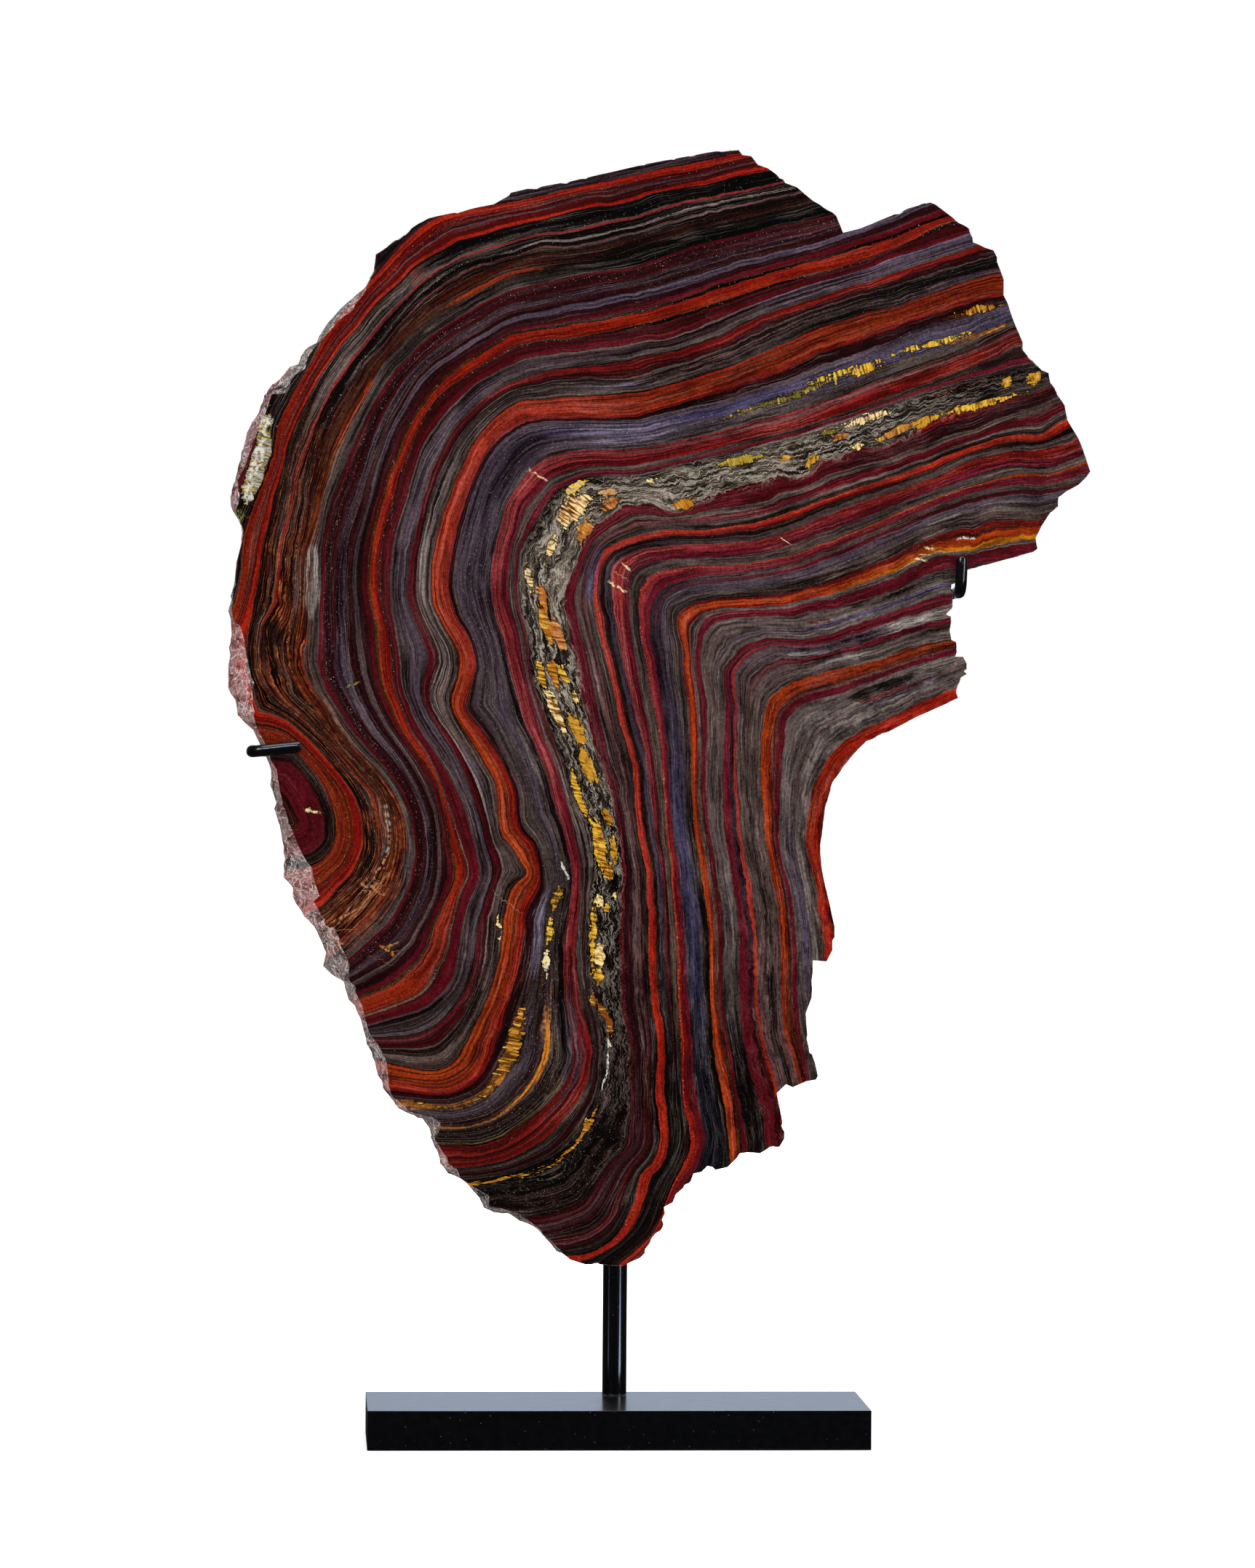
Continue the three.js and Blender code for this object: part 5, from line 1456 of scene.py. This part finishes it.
def addBump(tree, shader, height, distance, strength):
    node = put(tree, "ShaderNodeBump")
    node.inputs["Distance"].default_value = distance
    node.inputs["Strength"].default_value = strength
    tree.links.new(height, node.inputs["Height"])
    tree.links.new(node.outputs[0], shader.inputs["Normal"])


def polishedStone(group, look):
    material, tree, shader = startFinish("polishedStone")
    stoneOut = useStone(tree, group)
    tree.links.new(stoneOut["Colour"], shader.inputs["Base Color"])
    wear = noise(tree, stoneOut["Place"], 0.4, 4, 0.6)
    plug(tree, shader.inputs["Roughness"], ramped(tree, wear, 0.3, 0.7, *look["polish"]))
    shader.inputs["Specular IOR Level"].default_value = look["gloss"]
    relief = noise(tree, stoneOut["Place"], 0.9, 3, 0.6)
    addBump(tree, shader, relief, 0.02 * mm, 0.5)
    return material


def brokenStone(group):
    # the split sides: the same layers, duller, bruised pale where the ore is hard
    material, tree, shader = startFinish("brokenStone")
    stoneOut = useStone(tree, group)
    place = stoneOut["Place"]
    bruise = ramped(tree, noise(tree, place, 0.13, 5, 0.7), 0.40, 0.58)
    colour = blended(tree, 1.0, stoneOut["Colour"], (1.35, 1.3, 1.28, 1), "MULTIPLY")
    warmth = put(tree, "ShaderNodeSeparateColor")
    tree.links.new(stoneOut["Colour"], warmth.inputs[0])
    redness = minus(tree, warmth.outputs[0], times(tree, warmth.outputs[1], 1.6))
    pale = blended(tree, ramped(tree, redness, 0.005, 0.05), linear("#857c79"), linear("#b08583"))
    colour = blended(tree, timesPlus(tree, bruise, 0.56, 0.03), colour, pale)
    # thin pale cracks and dust in the hollows
    crack = calc(tree, "ABSOLUTE", minus(tree, noise(tree, place, 0.13, 4, 0.65, 0.6), 0.5))
    crack = times(tree, ramped(tree, crack, 0.022, 0.006), 0.75)
    colour = blended(tree, crack, colour, linear("#d6c9c4"))
    dust = ramped(tree, noise(tree, place, 0.75, 4, 0.75), 0.54, 0.66)
    colour = blended(tree, times(tree, dust, 0.6), colour, linear("#cfc3bd"))
    gloom = ramped(tree, noise(tree, place, 0.5, 4, 0.7), 0.44, 0.34, 0, 0.6)
    colour = blended(tree, gloom, colour, blended(tree, 1.0, colour, (0.25, 0.2, 0.2, 1), "MULTIPLY"))
    tree.links.new(colour, shader.inputs["Base Color"])
    shader.inputs["Roughness"].default_value = 0.72
    shader.inputs["Specular IOR Level"].default_value = 0.3
    lumps = times(tree, noise(tree, place, 0.15, 3, 0.6), 1.5)
    relief = plus(tree, noise(tree, place, 0.5, 6, 0.7), lumps)
    addBump(tree, shader, relief, 0.9 * mm, 0.8)
    return material


def sawnStone(group):
    # the back: sawn and rubbed flat, not polished
    material, tree, shader = startFinish("sawnStone")
    stoneOut = useStone(tree, group)
    place = stoneOut["Place"]
    haze = ramped(tree, noise(tree, place, 0.06, 4, 0.6), 0.35, 0.65, 0.10, 0.28)
    colour = blended(tree, haze, stoneOut["Colour"], linear("#5d5350"))
    tree.links.new(colour, shader.inputs["Base Color"])
    shader.inputs["Roughness"].default_value = 0.5
    shader.inputs["Specular IOR Level"].default_value = 0.3
    parts = put(tree, "ShaderNodeSeparateXYZ")
    tree.links.new(place, parts.inputs[0])
    # saw marks: faint straight lines from one pass of the blade
    run = timesPlus(tree, parts.outputs[0], 0.12, times(tree, parts.outputs[2], 0.9))
    marks = noise(tree, joined(tree, run, 0.0, times(tree, parts.outputs[0], 0.01)), 1, 3, 0.6)
    addBump(tree, shader, marks, 0.12 * mm, 0.6)
    return material


layeredGroup = layeredStone(stoneLook)
for material in (polishedStone(layeredGroup, stoneLook), brokenStone(layeredGroup), sawnStone(layeredGroup)):
    stone.data.materials.append(material)

print("building the stand")
stand = {
    # of the post, "round" is the rounding of its top edge and "flat" how far in the top lies level
    "base": {"length": 254, "deep": 76, "tall": 20, "edge": 0.35},
    "post": {"radius": 6.25, "top": 446, "x": 0.9, "y": 27.3, "foot": 20.3, "fillet": 0.3, "round": 0.9,
             "flat": 2.0},
    "wire": {"radius": 3.0, "bend": 6.5, "braze": 0.9, "brazeReach": 3},
    "left": {"path": ((-1.1, 23.8, 350.5), (-187.4, 23.8, 350.5), (-187.4, 1.2, 350), (-162.6, 1.2, 352.8)),
             "tip": 0.5},
    "right": {"path": ((2.9, 23.8, 430), (159.5, 23.8, 430), (173.8, 23.8, 434.8), (173.8, 1.2, 434.1),
                       (174.6, 1.2, 452.6)), "tip": 0.9},
    "sharpAngle": 40,  # degrees
}
# how each black finish looks: roughness from and to, scuffs, pale flecks that are painted glints,
# depth of its ripple in mm, and the colour of its gloss
finishes = {
    "blackBarPaint": {"rough": (0.15, 0.25), "scuffs": 0.06, "paintedGlints": 0.15, "ripple": 0.02,
                      "gloss": (0.84, 0.91, 1, 1)},
    "blackRodPaint": {"rough": (0.11, 0.17), "scuffs": 0.03, "paintedGlints": 0.20, "ripple": 0.008,
                      "gloss": (0.95, 0.97, 1, 1)},
    "blackWirePaint": {"rough": (0.12, 0.26), "scuffs": 0.10, "paintedGlints": 0.35, "ripple": 0.08,
                       "gloss": (0.95, 0.97, 1, 1)},
}


def pieceFrom(name, bm, node, material):
    mesh = bpy.data.meshes.new(name)
    bm.normal_update()
    bm.to_mesh(mesh)
    bm.free()
    mesh.shade_smooth()
    mesh.set_sharp_from_angle(angle=math.radians(stand["sharpAngle"]))
    mesh.materials.append(material)
    piece = bpy.data.objects.new(name, mesh)
    bpy.context.scene.collection.objects.link(piece)
    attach(piece, "root")
    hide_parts(node)
    return piece


def loft(bm, rings):
    # a closed skin over rings with the same number of points
    made = [[bm.verts.new(p) for p in ring] for ring in rings]
    for one, two in zip(made, made[1:]):
        count = len(one)
        for i in range(count):
            j = (i + 1) % count
            bm.faces.new((one[i], one[j], two[j], two[i]))
    bm.faces.new(made[0][::-1])
    bm.faces.new(made[-1])
    bmesh.ops.recalc_face_normals(bm, faces=bm.faces)


def bentPath(corners, bend):
    # straight runs joined by bends that start this far from each corner
    spacing = 4  # mm between points
    corners = [np.array(c, float) for c in corners]
    path = [corners[0]]
    for before, corner, after in zip(corners, corners[1:], corners[2:]):
        start = corner + (before - corner) / np.linalg.norm(before - corner) * bend
        end = corner + (after - corner) / np.linalg.norm(after - corner) * bend
        t = np.linspace(0, 1, 13)[:, None]
        path.extend((1 - t) ** 2 * start + 2 * t * (1 - t) * corner + t * t * end)
    path.append(corners[-1])
    fine = [path[0]]
    for a, b in zip(path, path[1:]):
        count = max(1, int(np.linalg.norm(b - a) / spacing))
        fine.extend(a + (b - a) * k / count for k in range(1, count + 1))
    return np.array(fine)


def sweptRod(bm, path, radii):
    # a round rod along the path, whose rings turn with it without twisting
    sides = 36
    ahead = np.gradient(path, axis=0)
    ahead /= np.linalg.norm(ahead, axis=1)[:, None]
    up = np.array((0, 0, 1.0)) if abs(ahead[0][2]) < 0.9 else np.array((1.0, 0, 0))
    rings = []
    for p, d, r in zip(path, ahead, radii):
        up = up - d * (up @ d)
        up /= np.linalg.norm(up)
        right = np.cross(up, d)
        angles = np.arange(sides) * 2 * math.pi / sides
        rings.append([tuple((p + r * (math.cos(a) * right + math.sin(a) * up)) * mm) for a in angles])
    loft(bm, rings)


def makeBase(plan, material):
    bm = bmesh.new()
    bmesh.ops.create_cube(bm, size=1.0)
    bmesh.ops.scale(bm, vec=(plan["length"] * mm, plan["deep"] * mm, plan["tall"] * mm), verts=bm.verts)
    low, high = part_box("base")
    middle = [(a + b) / 2 for a, b in zip(low, high)]
    bmesh.ops.translate(bm, vec=middle, verts=bm.verts)
    arris = plan["edge"] * mm
    bmesh.ops.bevel(bm, geom=list(bm.edges), offset=arris, segments=3, affect="EDGES", profile=0.5)
    base = pieceFrom("baseBar", bm, "base", material)
    largestEdge = plan["edge"] * plan["length"] * mm * mm
    for face in base.data.polygons:
        face.use_smooth = face.area < largestEdge  # the big faces stay flat
    return base


def makePost(plan, material):
    radius, foot, top, fillet, rounding = (plan[k] for k in ("radius", "foot", "top", "fillet", "round"))
    profile = [(radius + fillet, foot)]  # radius and height
    for a in math.pi / 2 * np.arange(7) / 6:
        profile.append((radius + fillet * (1 - math.sin(a)), foot + fillet * (1 - math.cos(a)) + 0.02))
    profile += [(radius, z) for z in np.linspace(foot + fillet + 2, top - 1.2, 60)]
    for a in math.pi / 2 * np.arange(1, 6) / 5:
        profile.append((radius - rounding * (1 - math.cos(a)), top - rounding * (1 - math.sin(a))))
    profile.append((radius - plan["flat"], top))
    bm = bmesh.new()
    turns = np.arange(72) * 2 * math.pi / 72
    x, y = plan["x"], plan["y"]
    loft(bm, [[((x + r * math.cos(a)) * mm, (y + r * math.sin(a)) * mm, z * mm) for a in turns]
              for r, z in profile])
    return pieceFrom("post", bm, "post", material)


def makeHook(name, node, plan, wire, post, material):
    path = bentPath(plan["path"], wire["bend"])
    # more points where the wire leaves the post and at its tip
    path = np.vstack([np.linspace(path[0], path[1], 25), path[2:]])
    last, before = path[-1], path[-2]
    end = (last - before) / np.linalg.norm(last - before)
    tip = plan["tip"]  # the rounding of the wire's cut end
    roundedEnd = [last - end * tip * k for k in (1, 0.6, 0.25)] + [last - end * 0.01]
    path = np.vstack([path[:-1], *roundedEnd])
    away = np.hypot(path[:, 0] - post["x"], path[:, 1] - post["y"]) - post["radius"]
    swell = wire["braze"] * np.clip(1 - away / wire["brazeReach"], 0, 1) ** 2.2
    radii = wire["radius"] + swell
    path[:, 1] += swell  # the braze builds up away from the stone
    radii[-3] = wire["radius"] - 0.2 * tip
    radii[-2] = wire["radius"] - 0.5 * tip
    radii[-1] = wire["radius"] - tip
    bm = bmesh.new()
    sweptRod(bm, path, radii)
    return pieceFrom(name, bm, node, material)


def blackPaint(name, look):
    material, tree, shader = startFinish(name)
    place = millimetres(tree)
    parts = put(tree, "ShaderNodeSeparateXYZ")
    tree.links.new(place, parts.inputs[0])
    mottle = noise(tree, place, 0.3, 4, 0.6)
    colour = blended(tree, ramped(tree, mottle, 0.35, 0.65), linear("#020203"), linear("#060608"))
    # rubbed marks run along the bar, and more of them low down where it has been handled
    across = [times(tree, parts.outputs[k], 0.9) for k in (1, 2)]
    brushed = joined(tree, times(tree, parts.outputs[0], 0.06), *across)
    rubbed = noise(tree, brushed, 1, 4, 0.65)
    scratch = noise(tree, place, 1.1, 5, 0.75, 1.5)
    low = ramped(tree, parts.outputs[2], 5.0, 0.5, 0, 0.10)
    amount = ramped(tree, plus(tree, scratch, low), 0.66, 0.78, 0, 1)
    colour = blended(tree, times(tree, amount, look["scuffs"] * 2), colour, linear("#7d7d82"))
    # pale flecks: glints of light painted into the paint's colour as small highlights
    cells = put(tree, "ShaderNodeTexVoronoi", feature="F1")
    cells.inputs["Scale"].default_value = 0.4
    tree.links.new(place, cells.inputs["Vector"])
    picked = put(tree, "ShaderNodeSeparateColor")
    tree.links.new(cells.outputs["Color"], picked.inputs[0])
    paintedGlint = ramped(tree, cells.outputs["Distance"], 0.16, 0.06, 0, look["paintedGlints"])
    paintedGlint = times(tree, paintedGlint, ramped(tree, picked.outputs[0], 0.62, 0.9))
    colour = blended(tree, paintedGlint, colour, linear("#a9a9ad"))
    tree.links.new(colour, shader.inputs["Base Color"])
    plug(tree, shader.inputs["Roughness"], ramped(tree, rubbed, 0.3, 0.7, *look["rough"]))
    shader.inputs["Specular IOR Level"].default_value = 0.5
    shader.inputs["Specular Tint"].default_value = look["gloss"]
    ripple = plus(tree, noise(tree, place, 0.5, 4, 0.65), times(tree, rubbed, 0.4))
    addBump(tree, shader, ripple, look["ripple"] * mm, 1.0)
    return material


paints = {name: blackPaint(name, look) for name, look in finishes.items()}
bar = makeBase(stand["base"], paints["blackBarPaint"])
post = makePost(stand["post"], paints["blackRodPaint"])
hooks = [makeHook(name, node, stand[side], stand["wire"], stand["post"], paints["blackWirePaint"])
         for name, node, side in (("leftHook", "left_arm", "left"), ("rightHook", "right_arm", "right"))]
# the strips light nothing but the rods' gloss
for strip, pieces in (("rightStrip", [post]), ("leftStrip", [post]), ("hookStrip", hooks[:1])):
    lit = bpy.data.collections.new(strip + "Lit")
    for piece in pieces:
        lit.objects.link(piece)
    bpy.data.objects[strip].light_linking.receiver_collection = lit
# and the low fill leaves out the bar, whose top would mirror it
unlit = bpy.data.collections.new("fillLeavesOut")
unlit.objects.link(bar)
unlit.collection_objects[0].light_linking.link_state = "EXCLUDE"
bpy.data.objects["fillSoftbox"].light_linking.receiver_collection = unlit
